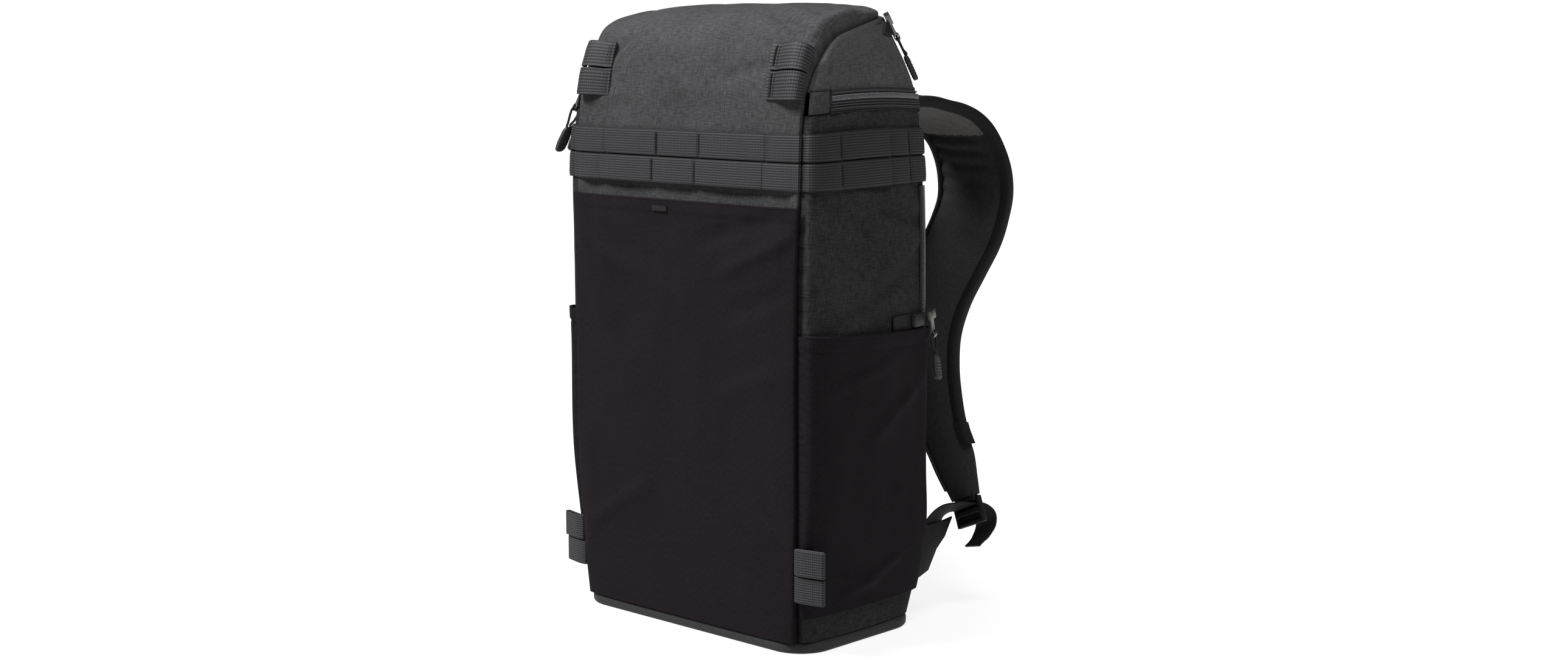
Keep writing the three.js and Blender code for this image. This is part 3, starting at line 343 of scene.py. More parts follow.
def smoothTrack(places, rows):
    # rows of numbers joined by smooth curves through each place
    count = len(rows[0])
    slopes = []
    steps = [places[i + 1] - places[i] for i in range(len(places) - 1)]
    for i in range(len(places)):
        if i == 0 or i == len(places) - 1:
            j = min(i, len(steps) - 1)
            slopes.append([(rows[j + 1][k] - rows[j][k]) / steps[j] for k in range(count)])
        else:
            a, b = steps[i - 1], steps[i]
            slopes.append([
                (b * (rows[i][k] - rows[i - 1][k]) / a + a * (rows[i + 1][k] - rows[i][k]) / b) / (a + b)
                for k in range(count)])

    def at(place):
        i = 0
        while i < len(steps) - 1 and place > places[i + 1]:
            i += 1
        h = steps[i]
        t = (place - places[i]) / h
        if t < 0 or t > 1:
            edge = 0 if t < 0 else 1
            base, slope, run = rows[i + edge], slopes[i + edge], (t - edge) * h
            return [base[k] + slope[k] * run for k in range(count)]
        a, b = 2 * t**3 - 3 * t**2 + 1, t**3 - 2 * t**2 + t
        c, d = -2 * t**3 + 3 * t**2, t**3 - t**2
        return [a * rows[i][k] + b * h * slopes[i][k] + c * rows[i + 1][k] + d * h * slopes[i + 1][k]
                for k in range(count)]

    return at


def bodyZ(share):
    return blend(bag["bottom"], bag["slot"], share)


def lidZ(share):
    return bag["zip"] + bag["lid"] * share


halfWidth, halfDepth, backDepth = bag["halfWidth"], bag["halfDepth"], bag["backDepth"]


def wallRow(side, edgeY, edgeZ, middleY, middleZ, corner):
    # one row of a wall: its edge, its middle and how round its corner is
    return (halfWidth * side, edgeY, edgeZ, middleY, middleZ, corner)


frontRows = [wallRow(r[1], -halfDepth * r[2], bodyZ(r[0]), -halfDepth * r[3], bodyZ(r[0]), r[4]) for r in bodyRows]
frontRows += [wallRow(r[1], -halfDepth * r[2], lidZ(r[0]), -halfDepth * r[4], lidZ(r[3]), bag["lidCorner"])
              for r in lidRows]
backRows = [wallRow(r[5], backDepth * r[6], bodyZ(r[0]), backDepth * r[6] + bag["backCrown"] * r[7], bodyZ(r[0]),
                    bag["rearCorner"]) for r in bodyRows]
rearRows = [wallRow(r[6], backDepth * r[7], lidZ(r[5]), backDepth * r[9], lidZ(r[8]), bag["rearCorner"])
            for r in lidRows]


def runLengths(rows):
    lengths = [0.0]
    for a, b in zip(rows, rows[1:]):
        lengths.append(lengths[-1] + math.hypot(b[1] - a[1], b[2] - a[2]))
    return lengths


frontRuns, backRuns, rearRuns = runLengths(frontRows), runLengths(backRows), runLengths(rearRows)
frontTrack, backTrack = smoothTrack(frontRuns, frontRows), smoothTrack(backRuns, backRows)
rearTrack = smoothTrack(rearRuns, rearRows)
cheekTrack = smoothTrack([bodyZ(r[0]) for r in bodyRows], [r[8:12] for r in bodyRows])
lidTrack = smoothTrack(range(9), [(r[10], r[11], frontRuns[8 + i], rearRuns[i]) for i, r in enumerate(lidRows)])


def runAtHeight(track, length, height):
    low, high = 0.0, length
    for _ in range(30):
        middle = (low + high) / 2
        if track(middle)[2] < height:
            low = middle
        else:
            high = middle
    return low


def frameAt(track, run, sign):
    row, before, after = track(run), track(run - 0.5), track(run + 0.5)
    edgeOut = Vector((0, -(after[2] - before[2]) * sign, (after[1] - before[1]) * sign)).normalized()
    centreOut = Vector((0, -(after[4] - before[4]) * sign, (after[3] - before[3]) * sign)).normalized()
    return {"edge": Vector(row[:3]), "centre": Vector((0, row[3], row[4])), "corner": row[5],
            "edgeOut": edgeOut, "centreOut": centreOut}


def frontFrame(run):
    return frameAt(frontTrack, run, 1)


def backFrame(run):
    return frameAt(backTrack, run, -1)


def rearFrame(run):
    return frameAt(rearTrack, run, -1)


def facePoint(row, across, out):
    reach = min(abs(across), 1)
    drop = 1 - (1 - reach ** row["corner"]) ** (1 / row["corner"])
    centre = row["centre"] + row["centreOut"] * out
    edge = row["edge"] + row["edgeOut"] * out
    point = centre.lerp(edge, drop)
    point.x = across * (row["edge"].x + out - bag["gap"])
    return point


def swell(along, power, skew):
    reach = min(abs(2 * along - 1), 1)
    return (1 - reach**power) ** (1 / power) * (1 - skew * max(along, 0) ** 1.5)


def sideFrame(height):
    bulge, power, skew, arch = cheekTrack(height)
    return {"front": frontFrame(runAtHeight(frontTrack, frontRuns[8], height)),
            "back": backFrame(runAtHeight(backTrack, backRuns[-1], height)),
            "bulge": bag["sideBulge"] * bulge, "power": power, "skew": skew, "arch": bag["zipArch"] * arch}


def gussetFrame(place):
    bulge, arch, run, rearRun = lidTrack(place)
    return {"front": frontFrame(run), "back": rearFrame(rearRun), "bulge": bag["lidBulge"] * max(bulge, 0),
            "power": 3, "skew": 0.5, "arch": bag["zipArch"] * max(arch, 0)}


def cheekPoint(row, along, out):
    start = row["front"]["edge"] + row["front"]["edgeOut"] * out
    end = row["back"]["edge"] + row["back"]["edgeOut"] * out
    trim = Vector((0, end.y - start.y, end.z - start.z)).normalized() * bag["gap"]
    point = (start + trim).lerp(end - trim, along)
    point.x += out + row["bulge"] * swell(along, row["power"], row["skew"])
    point.z += row["arch"] * (1 - (2 * along - 1) ** 2)
    return point


def spread(low, high, count):
    return [low + (high - low) * i / (count - 1) for i in range(count)]


def cosSpread(low, high, count):
    # denser towards both ends
    return [low + (high - low) * (0.5 - 0.5 * math.cos(math.pi * i / (count - 1))) for i in range(count)]


def wavy(x, y, scale, seed):
    return noise.noise(Vector((x / scale, y / scale, seed)))


def crease(x, y, line, depth, width):
    # a soft fold along a line from (ax, ay) to (bx, by), fading at both ends
    ax, ay, bx, by = line
    dx, dy = bx - ax, by - ay
    length = math.hypot(dx, dy)
    t = ((x - ax) * dx + (y - ay) * dy) / length**2
    off = ((x - ax) * dy - (y - ay) * dx) / length
    fade = smoothstep(-0.15, 0.25, t) * (1 - smoothstep(0.7, 1.15, t))
    return depth * fade * math.exp(-(off / width) ** 2)


# making pieces
def finishMesh(name, bm, material, thickness=0.0, offset=-1.0, sharp=38.0, mirror=False):
    if mirror:
        bmesh.ops.scale(bm, vec=(-1, 1, 1), verts=bm.verts[:])
        bmesh.ops.reverse_faces(bm, faces=bm.faces[:])
    mesh = bpy.data.meshes.new(name)
    bm.to_mesh(mesh)
    bm.free()
    piece = bpy.data.objects.new(name, mesh)
    bpy.context.collection.objects.link(piece)
    if thickness:
        wall = piece.modifiers.new("wall", "SOLIDIFY")
        wall.thickness = thickness * 0.001
        wall.offset = offset
        wall.use_even_offset = False
        solid = bpy.data.meshes.new_from_object(piece.evaluated_get(bpy.context.evaluated_depsgraph_get()))
        piece.modifiers.clear()
        piece.data = solid
        bpy.data.meshes.remove(mesh)
        mesh = solid
    shade = bmesh.new()
    shade.from_mesh(mesh)
    for face in shade.faces:
        face.smooth = True
    for edge in shade.edges:
        if len(edge.link_faces) == 2 and edge.calc_face_angle(0) > math.radians(sharp):
            edge.smooth = False
    shade.to_mesh(mesh)
    shade.free()
    mesh.materials.clear()
    mesh.materials.append(material)
    return piece


def gridMesh(columns, rows, frameOf, pointOf, outOf, sizes, sign=1):
    # a grid laid on the bag: pointOf(frame, column, out), lifted by outOf(column, row)
    bm = bmesh.new()
    layer = bm.loops.layers.uv.new("UVMap")
    across, up = len(columns), len(rows)
    bmesh.ops.create_grid(bm, x_segments=across - 1, y_segments=up - 1, size=0.5)
    frames = [frameOf(row) for row in rows]
    cell = {}
    for vert in bm.verts:
        i, j = round((vert.co.x + 0.5) * (across - 1)), round((vert.co.y + 0.5) * (up - 1))
        cell[vert] = (i, j)
    for vert, (i, j) in cell.items():
        vert.co = pointOf(frames[j], columns[i], outOf(columns[i], rows[j])) * 0.001
    for face in bm.faces:
        for loop in face.loops:
            i, j = cell[loop.vert]
            loop[layer].uv = (columns[i] * sizes[0] * 0.001, rows[j] * sizes[1] * 0.001)
    if sign < 0:
        bmesh.ops.reverse_faces(bm, faces=bm.faces[:])
    bm.normal_update()
    return bm


def dress(piece, slotName, *nodes):
    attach(piece, "root")
    if nodes:
        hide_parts(*nodes)
    return piece


def edgeTuck(distance, width, depth):
    # rolls a panel's edge down into its seam
    if distance >= width:
        return 0.0
    return -depth * (1 - math.sqrt(max(1 - (1 - distance / width) ** 2, 0)))


def section(count, radius, flatten=1.0):
    return [(radius * math.cos(2 * math.pi * i / count), radius * flatten * math.sin(2 * math.pi * i / count))
            for i in range(count)]


def sweepMesh(stations, outline, closed=False):
    # carries a closed outline along stations of (point, across, out), in millimetres
    outlines = [outline(j) for j in range(len(stations))] if callable(outline) else [outline] * len(stations)
    outline = outlines[len(outlines) // 2]
    bm = bmesh.new()
    layer = bm.loops.layers.uv.new("UVMap")
    around, along = len(outline), len(stations)
    bmesh.ops.create_grid(bm, x_segments=around, y_segments=along if closed else along - 1, size=0.5)
    rings = along if closed else along - 1
    lengths = [0.0]
    for a, b in zip(stations, stations[1:] + stations[:1]):
        lengths.append(lengths[-1] + (b[0] - a[0]).length)
    sideRuns = [0.0]
    for a, b in zip(outline, outline[1:] + outline[:1]):
        sideRuns.append(sideRuns[-1] + math.hypot(b[0] - a[0], b[1] - a[1]))
    cell = {}
    for vert in bm.verts:
        cell[vert] = (round((vert.co.x + 0.5) * around), round((vert.co.y + 0.5) * rings))
    for face in bm.faces:
        for loop in face.loops:
            i, j = cell[loop.vert]
            loop[layer].uv = (lengths[j] * 0.001, sideRuns[i] * 0.001)
    for vert, (i, j) in cell.items():
        point, side, out = stations[j % along]
        a, b = outlines[j % along][i % around]
        vert.co = (point + side * a + out * b) * 0.001
    bmesh.ops.remove_doubles(bm, verts=bm.verts[:], dist=1e-7)
    if not closed:
        bmesh.ops.holes_fill(bm, edges=[e for e in bm.edges if e.is_boundary], sides=0)
    bmesh.ops.recalc_face_normals(bm, faces=bm.faces[:])
    return bm


def smoothPath(points, count):
    runs = [0.0]
    for a, b in zip(points, points[1:]):
        runs.append(runs[-1] + math.dist(a[:3], b[:3]))
    track = smoothTrack(runs, [tuple(p) for p in points])
    return [track(place) for place in spread(0, runs[-1], count)]


def pathStations(points, side=None, out=None):
    stations = []
    for i, point in enumerate(points):
        run = (points[min(i + 1, len(points) - 1)] - points[max(i - 1, 0)]).normalized()
        if side is not None:
            across = (side[i] if isinstance(side, list) else side).copy()
            across = (across - run * across.dot(run)).normalized()
            stations.append((point, across, run.cross(across).normalized()))
        else:
            up = (out[i] if isinstance(out, list) else out).copy()
            up = (up - run * up.dot(run)).normalized()
            stations.append((point, up.cross(run).normalized(), up))
    return stations


# threads: one small rounded bar for each stitch
stitchBars = {}


def stitch(group, start, end, radius=0.3):
    stitchBars.setdefault(group, []).append((start, end, radius))


def sewThreads():
    for group, bars in stitchBars.items():
        bm = bmesh.new()
        for start, end, radius in bars:
            run = end - start
            turn = run.to_track_quat("Z", "Y").to_matrix().to_4x4()
            place = Matrix.Translation((start + end) * 0.0005) @ turn
            bmesh.ops.create_cone(bm, cap_ends=True, segments=5, radius1=radius * 0.001, radius2=radius * 0.001,
                                  depth=run.length * 0.001, matrix=place)
        piece = finishMesh(f"{group}_stitches", bm, threadFinish, sharp=70)
        dress(piece, "webbing")


print("surfaces ready")


# walls of the body and the lid
def frontRun(height):
    return runAtHeight(frontTrack, frontRuns[-1], height)


def onFront(x, height, out):
    row = frontFrame(frontRun(height))
    return facePoint(row, x / row["edge"].x, out)


def onSide(height, along, out, side=1):
    point = cheekPoint(sideFrame(height), along, out)
    return Vector((point.x * side, point.y, point.z))


frontPanelSettings = {
    "wall": 4.5, "columns": 121, "rows": 221, "tuck": (2.6, 1.7), "wrinkle": 0.9, "puff": 2.4, "hollow": 2.8,
}
frontCreases = [
    # ax, ay, bx, by in millimetres across and up the run, depth, width
    ((62, 452, 112, 428), -3.4, 3.6),
    ((66, 463, 108, 446), 2.6, 5.0),
    ((40, 398, 100, 410), -1.6, 4.0),
    ((-95, 405, -60, 432), -2.0, 4.5),
    ((-20, 392, 50, 388), 0.7, 6.0),
    ((-108, 380, -60, 388), 1.4, 4.5),
]


def frontRelief(across, run):
    s = frontPanelSettings
    x = across * halfWidth
    out = edgeTuck((1 - abs(across)) * halfWidth, *s["tuck"])
    calm = smoothstep(0, 25, (1 - abs(across)) * halfWidth) * smoothstep(370, 395, run)
    out += s["wrinkle"] * calm * (wavy(x, run, 38, 3) + 0.45 * wavy(x, run, 15, 8))
    hollow = smoothstep(300, 318, run) * (1 - smoothstep(327, 334, run))
    out -= s["hollow"] * hollow * smoothstep(0, 14, (1 - abs(across)) * halfWidth)
    for line, depth, width in frontCreases:
        out += crease(x, run, line, depth, width)
    edge = (1 - abs(across)) * halfWidth
    out += s["puff"] * math.exp(-((edge - 7) / 5) ** 2) * smoothstep(418, 440, run) * (1 - smoothstep(475, 492, run))
    return out


frontPanel = finishMesh(
    "front_panel_cloth",
    gridMesh(cosSpread(-1, 1, frontPanelSettings["columns"]), spread(0, frontRuns[-1], frontPanelSettings["rows"]),
             frontFrame, facePoint, frontRelief, (halfWidth, 1)),
    shellFrontCloth, frontPanelSettings["wall"])
dress(frontPanel, "shell_cloth", "front_panel")

sidePanelSettings = {"wall": 4.5, "columns": 71, "rows": 121, "tuck": (1.8, 1.5), "wrinkle": 2.0}
sideCreases = [
    ((40, 330, 125, 314), 2.2, 5.0),
    ((12, 324, 72, 292), -3.0, 5.0),
    ((45, 256, 128, 292), 3.2, 5.5),
    ((20, 232, 115, 268), -2.6, 5.0),
    ((8, 300, 50, 316), 2.4, 5.0),
    ((70, 318, 128, 300), -2.4, 4.0),
    ((5, 377, 60, 380), 1.5, 3.0),
]


def sideRelief(along, height):
    s = sidePanelSettings
    y = along * 135
    near = min(along, 1 - along) * 135
    calm = smoothstep(0, 14, near) * smoothstep(208, 232, height)
    out = edgeTuck(near, *s["tuck"])
    out += edgeTuck(bag["slot"] - height, 2.4, 0.8)
    out += s["wrinkle"] * calm * (wavy(y, height, 42, 21) + 0.5 * wavy(y, height, 16, 25))
    for line, depth, width in sideCreases:
        out += crease(y, height, line, depth, width) * calm
    return out


gussetSettings = {"wall": 3.4, "columns": 61, "rows": 49, "tuck": (2.6, 1.2), "wrinkle": 0.6}


def gussetRelief(along, place):
    s = gussetSettings
    reach = 110 - place * 9
    near = min(along, 1 - along) * reach
    out = edgeTuck(near, *s["tuck"]) + edgeTuck(place * 7, 2.4, 0.8)
    out += s["wrinkle"] * smoothstep(0, 12, near) * (wavy(along * reach, place * 8, 26, 31) * 1.2)
    return out


for hand, side in (("right", 1), ("left", -1)):
    panel = finishMesh(
        f"side_panel_{hand}_cloth",
        gridMesh(cosSpread(0, 1, sidePanelSettings["columns"]),
                 spread(bag["bottom"], bag["slot"], sidePanelSettings["rows"]),
                 sideFrame, cheekPoint, sideRelief, (135, 1)),
        shadedShellSideCloth, sidePanelSettings["wall"], mirror=side < 0)
    dress(panel, "shell_cloth", f"side_panel_{hand}")
    gusset = finishMesh(
        f"lid_gusset_{hand}_cloth",
        gridMesh(cosSpread(0, 1, gussetSettings["columns"]), spread(0, 8, gussetSettings["rows"]),
                 gussetFrame, cheekPoint, gussetRelief, (110, 8)),
        litGussetCloth, gussetSettings["wall"], mirror=side < 0)
    dress(gusset, "shell_cloth", f"lid_gusset_{hand}")

backPanelSettings = {"wall": 10, "columns": 81, "rows": 121, "tuck": (4, 2.2), "channel": 2.0, "rise": 1.0}


def backRelief(across, run):
    s = backPanelSettings
    x = across * halfWidth
    out = edgeTuck((1 - abs(across)) * halfWidth, *s["tuck"])
    middle = math.exp(-(x / 9) ** 2)
    bars = sum(math.exp(-((run - at) / 5) ** 2) for at in (95, 190, 285))
    inside = smoothstep(8, 24, (1 - abs(across)) * halfWidth)
    inside *= smoothstep(10, 30, run) * smoothstep(10, 30, backRuns[-1] - run)
    out -= s["channel"] * max(middle, min(bars, 1)) * inside
    return out + 0.4 * wavy(x, run, 40, 44) - s["rise"] * (1 - inside)


backPanel = finishMesh(
    "back_panel_padding",
    gridMesh(cosSpread(-1, 1, backPanelSettings["columns"]), spread(0, backRuns[-1], backPanelSettings["rows"]),
             backFrame, facePoint, backRelief, (halfWidth, 1), sign=-1),
    backCloth, backPanelSettings["wall"])
dress(backPanel, "back_cloth", "back_panel")

lidBackSettings = {"wall": 3.4, "columns": 71, "rows": 41}


def lidBackRelief(across, run):
    out = edgeTuck((1 - abs(across)) * halfWidth, 3.0, 1.3)
    return out + 0.5 * wavy(across * halfWidth, run, 30, 51)


lidBack = finishMesh(
    "lid_back_cloth",
    gridMesh(cosSpread(-1, 1, lidBackSettings["columns"]), spread(0, rearRuns[-1], lidBackSettings["rows"]),
             rearFrame, facePoint, lidBackRelief, (halfWidth, 1), sign=-1),
    shellFrontCloth, lidBackSettings["wall"])
dress(lidBack, "shell_cloth", "lid_back")
print("walls ready")

# base
baseSettings = {"width": 238, "depth": 132, "corner": 28, "height": 8.3, "band": 8, "soft": 2.6, "steps": 14}


def baseStations(inset, steps):
    stations = []
    for x, y, start in ((1, -1, -90), (1, 1, 0), (-1, 1, 90), (-1, -1, 180)):
        for i in range(steps + 1):
            angle = math.radians(start + 90 * i / steps)
            ray = Vector((math.cos(angle), math.sin(angle), 0))
            reach = baseSettings["corner"]
            centre = Vector((x * (baseSettings["width"] / 2 - reach), y * (baseSettings["depth"] / 2 - reach), 0))
            stations.append((centre + ray * (reach - inset), -ray, Vector((0, 0, 1))))
    filled = []
    for i, (point, across, up) in enumerate(stations):
        after = stations[(i + 1) % len(stations)][0]
        filled.append((point, across, up))
        gapLength = (after - point).length
        if gapLength > 12:
            count = int(gapLength / 6)
            filled += [(point.lerp(after, j / count), across, up) for j in range(1, count)]
    return filled


def bandOutline(width, height, soft):
    outline = []
    corners = ((width - 0.4, 0.4, -90), (width - 0.4, height - 0.4, 0), (soft, height - soft, 90), (soft, soft, 180))
    for x, y, start in corners:
        reach = 0.4 if x > width / 2 else soft
        for i in range(6):
            angle = math.radians(start + 18 * i)
            outline.append((x + reach * math.cos(angle), y + reach * math.sin(angle)))
    return outline


bandShape = bandOutline(baseSettings["band"], baseSettings["height"], baseSettings["soft"])
bandBody = sweepMesh(baseStations(0, baseSettings["steps"]), bandShape, closed=True)
dress(finishMesh("base_binding_tape", bandBody, bindingCloth), "webbing", "base_binding")


def boxUv(bm):
    layer = bm.loops.layers.uv.verify()
    for face in bm.faces:
        n = face.normal
        axis = max(range(3), key=lambda k: abs(n[k]))
        u, v = [k for k in range(3) if k != axis]
        for loop in face.loops:
            loop[layer].uv = (loop.vert.co[u], loop.vert.co[v])


def softenedCopy(node, material, bevel=0.5, segments=2, sharp=40, slotName=None):
    bm = bmesh.new()
    bm.from_mesh(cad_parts[node].data)
    bmesh.ops.remove_doubles(bm, verts=bm.verts[:], dist=1e-6)
    bmesh.ops.dissolve_limit(bm, angle_limit=math.radians(1), verts=bm.verts[:], edges=bm.edges[:])
    bmesh.ops.recalc_face_normals(bm, faces=bm.faces[:])
    edges = [e for e in bm.edges if len(e.link_faces) == 2 and e.calc_face_angle(0) > math.radians(30)]
    if bevel:
        bmesh.ops.bevel(bm, geom=edges, offset=bevel * 0.001, offset_type="OFFSET", affect="EDGES", segments=segments,
                        profile=0.5, clamp_overlap=True, material=-1)
    bm.normal_update()
    boxUv(bm)
    piece = finishMesh(f"{node}_piece", bm, material, sharp=sharp)
    return dress(piece, slotName, node)


softenedCopy("base_panel", darkWebbing, 0.4, slotName="webbing")
print("base ready")

# pockets
pocketSettings = {
    "cloth": 1.5, "slack": 3.2, "frontHem": 319.5, "sideFront": 231, "sideBack": 223, "sideBottom": 27.3,
    "hem": 10, "hemRise": 0.6, "lip": 1.35, "wrinkle": 1.9,
}


def hemRise(below):
    s = pocketSettings
    rise = s["hemRise"] * (1 - smoothstep(s["hem"] - 1.2, s["hem"], below))
    return rise - 0.35 * math.exp(-((below - s["hem"]) / 0.8) ** 2)


pocketCreases = [
    # ax, ay, bx, by in millimetres across and up, depth, width
    ((114, 300, 40, 268), 1.3, 6.0),
    ((114, 316, 20, 292), -1.1, 6.5),
    ((112, 262, 50, 240), -0.9, 7.0),
    ((-112, 290, -40, 262), 1.0, 7.0),
    ((-112, 225, -50, 205), -0.9, 7.0),
    ((112, 78, 30, 120), 1.1, 7.0),
    ((112, 52, 20, 62), -1.0, 7.0),
    ((-112, 62, -30, 110), 1.1, 7.0),
    ((-112, 40, -40, 48), -0.9, 6.0),
    ((40, 180, 110, 205), 0.8, 9.0),
]


def liftOff(value):
    # keeps a wrinkle off the cloth beneath it
    return (value + math.sqrt(value**2 + 0.5)) / 2


def frontPocketOut(across, height):
    s = pocketSettings
    climb = (height - bag["bottom"]) / (s["frontHem"] - bag["bottom"])
    x = across * halfWidth
    near = (1 - abs(across)) * halfWidth
    out = s["slack"] * climb**2 * (1 - abs(across) ** 8) + hemRise(s["frontHem"] - height)
    calm = smoothstep(0, 16, near) * smoothstep(0, 20, height - bag["bottom"])
    out += s["wrinkle"] * calm * (wavy(x, height * 0.6, 46, 61) + 0.3 * wavy(x, height * 0.7, 17, 65))
    out += 0.8 * calm * wavy(x * 1.6, height * 0.15, 24, 68) * smoothstep(240, 318, height)
    for line, depth, width in pocketCreases:
        out += 1.6 * crease(x, height, line, depth, width) * smoothstep(0, 8, near)
    return bag["gap"] + s["cloth"] + edgeTuck(near, 2.6, 1.2) + liftOff(out)


def frontPocketFrame(height):
    return frontFrame(frontRun(height))


frontPocket = finishMesh(
    "front_pocket_cloth",
    gridMesh(cosSpread(-1, 1, 131), spread(bag["bottom"], pocketSettings["frontHem"], 161),
             frontPocketFrame, facePoint, frontPocketOut, (halfWidth, 1)),
    pocketKnit, pocketSettings["cloth"])
dress(frontPocket, "stretch_cloth", "front_pocket")


def sideHem(along):
    s = pocketSettings
    return blend(s["sideFront"], s["sideBack"], 1 - (1 - along) ** 1.5)


sidePocketCreases = [
    ((15, 190, 90, 205), 1.6, 5.0),
    ((60, 150, 125, 185), 1.8, 6.0),
    ((10, 60, 80, 40), 2.0, 5.0),
    ((30, 34, 110, 62), 1.8, 5.0),
    ((90, 110, 128, 90), 1.4, 6.0),
]


def sidePocketOut(along, share):
    s = pocketSettings
    height = blend(s["sideBottom"], sideHem(along), share)
    climb = min((height - s["sideBottom"]) / (s["sideFront"] - s["sideBottom"]), 1)
    near = min(along, 1 - along) * 135
    out = s["slack"] * climb**2 * (1 - abs(2 * along - 1) ** 8) + hemRise(sideHem(along) - height)
    calm = smoothstep(0, 16, near) * smoothstep(0, 20, height - s["sideBottom"])
    y = along * 135
    out += s["wrinkle"] * calm * (wavy(y, height * 0.6, 44, 71) + 0.4 * wavy(y, height * 0.5, 18, 75))
    for line, depth, width in sidePocketCreases:
        out += crease(y, height, line, depth, width) * calm
    return bag["gap"] + s["cloth"] + edgeTuck(near, 2.6, 1.2) + liftOff(out)


def pocketShareFrame(share):
    return share


def sidePocketAt(share, along, out):
    height = blend(pocketSettings["sideBottom"], sideHem(along), share)
    return onSide(height, along, out)


for hand, side in (("right", 1), ("left", -1)):
    pocket = finishMesh(
        f"side_pocket_{hand}_cloth",
        gridMesh(cosSpread(0, 1, 61), spread(0, 1, 101), pocketShareFrame, sidePocketAt, sidePocketOut, (135, 200)),
        pocketKnit, pocketSettings["cloth"], mirror=side < 0)
    dress(pocket, "stretch_cloth", f"side_pocket_{hand}")
    lipLine = [onSide(sideHem(a), a, sidePocketOut(a, 1) - 0.9) for a in cosSpread(0.004, 0.996, 61)]
    lip = sweepMesh(pathStations(lipLine, out=Vector((1, 0, 0))), section(10, pocketSettings["lip"]))
    lipPiece = finishMesh(f"side_pocket_{hand}_lip", lip, pocketKnit, mirror=side < 0)
    dress(lipPiece, "stretch_cloth")

frontHem = pocketSettings["frontHem"]
frontLip = [facePoint(frontPocketFrame(frontHem), a, frontPocketOut(a, frontHem) - 0.8)
            for a in cosSpread(-0.995, 0.995, 101)]
lipBody = sweepMesh(pathStations(frontLip, out=Vector((0, -1, 0))), section(10, 1.05))
dress(finishMesh("front_pocket_lip", lipBody, pocketKnit), "stretch_cloth")
tabBody = finishMesh(
    "pocket_tab_piece",
    gridMesh(spread(-24.5 / halfWidth, -9.5 / halfWidth, 17), spread(311.5, 315.5, 5), frontPocketFrame, facePoint,
             lambda across, height: frontPocketOut(across, height) + 0.9, (halfWidth, 1)),
    darkWebbing, 1.2)
dress(tabBody, "webbing", "pocket_tab")
print("pockets ready")

# webbing rows
webbingSettings = {
    "width": 19, "thick": 1.4, "line": 351.5, "dome": 1.7, "pinch": 0.55, "pinchWide": 1.3,
    "frontTacks": {"upper": (-81.7, -25, 19.1, 86.9), "lower": (-88.1, -29.7, 14.6, 84.5)},
    "sideTacks": (-33, 48),
}


def domeBetween(place, tacks):
    stops = sorted(tacks)
    for a, b in zip(stops, stops[1:]):
        if a <= place <= b:
            share = (place - a) / (b - a)
            return math.sin(math.pi * share) ** 0.7 * min(1, (b - a) / 40)
    return 0.0


for row, low in (("lower", webbingSettings["line"] - 0.5 - 19), ("upper", webbingSettings["line"] + 0.5)):
    tacks = webbingSettings["frontTacks"][row]

    def frontBandOut(across, height):
        s = webbingSettings
        share = (height - low) / s["width"]
        out = bag["gap"] + s["thick"] + s["dome"] * domeBetween(across * halfWidth, (-112, *tacks, 112))
        out += edgeTuck((1 - abs(across)) * halfWidth, 2.0, 0.8)
        out -= 0.35 * abs(2 * share - 1) ** 6
        out -= s["pinch"] * sum(math.exp(-((across * halfWidth - x) / s["pinchWide"]) ** 2) for x in tacks)
        return out + 0.25 * wavy(across * halfWidth, height, 22, 80)

    band = finishMesh(
        f"front_webbing_{row}_band",
        gridMesh(spread(-1, 1, 261), spread(low, low + 19, 19),
                 frontPocketFrame, facePoint, frontBandOut, (halfWidth, 1)),
        bagWebbing, webbingSettings["thick"])
    dress(band, "webbing", f"front_webbing_{row}")

    def sideBandOut(along, height):
        s = webbingSettings
        share = (height - low) / s["width"]
        y = -62 + 132 * along
        out = bag["gap"] + s["thick"] + 1.3 * domeBetween(y, (-62, -33, 25, 48, 70))
        out -= 0.6 * math.exp(-((y + 33) / 1.3) ** 2) + 0.5 * math.exp(-((y - 48) / 1.2) ** 2)
        out += edgeTuck(min(along, 1 - along) * 132, 1.5, 1.2) - 0.35 * abs(2 * share - 1) ** 6
        out -= 0.7 * math.exp(-((y - 25) / 1.6) ** 2)
        return out + 0.15 * wavy(y, height, 22, 84)

    for hand, side in (("right", 1), ("left", -1)):
        band = finishMesh(
            f"side_webbing_{hand}_{row}_band",
            gridMesh(cosSpread(0, 1, 151), spread(low, low + 19, 19), sideFrame, cheekPoint, sideBandOut, (132, 1)),
            shadedSideWebbing, webbingSettings["thick"], mirror=side < 0)
        dress(band, "webbing", f"side_webbing_{hand}_{row}")

    # bar tacks: a zigzag of thread up the row
    for x in tacks:
        for i in range(13):
            a, b = low + 2 + i * 1.15, low + 2.6 + i * 1.15
            lift = bag["gap"] + webbingSettings["thick"] + 0.12
            left, right = onFront(x - 1.1, a, lift), onFront(x + 1.1, b, lift)
            stitch("front_webbing", left, right, 0.3)

# a dark strip behind the slit between the rows: painted shadow in the slit
for name, frameOf, pointOf, low, high in (
        ("front", frontPocketFrame, facePoint, -0.99, 0.99),
        ("side_right", sideFrame, cheekPoint, 0.01, 0.99),
        ("side_left", sideFrame, cheekPoint, 0.01, 0.99)):
    strip = gridMesh(spread(low, high, 41), spread(350.2, 352.8, 3), frameOf, pointOf, lambda a, h: 0.7, (100, 1))
    dress(finishMesh(f"webbing_shadow_{name}", strip, darkWebbing, 0.4, mirror=name.endswith("left")), "webbing")

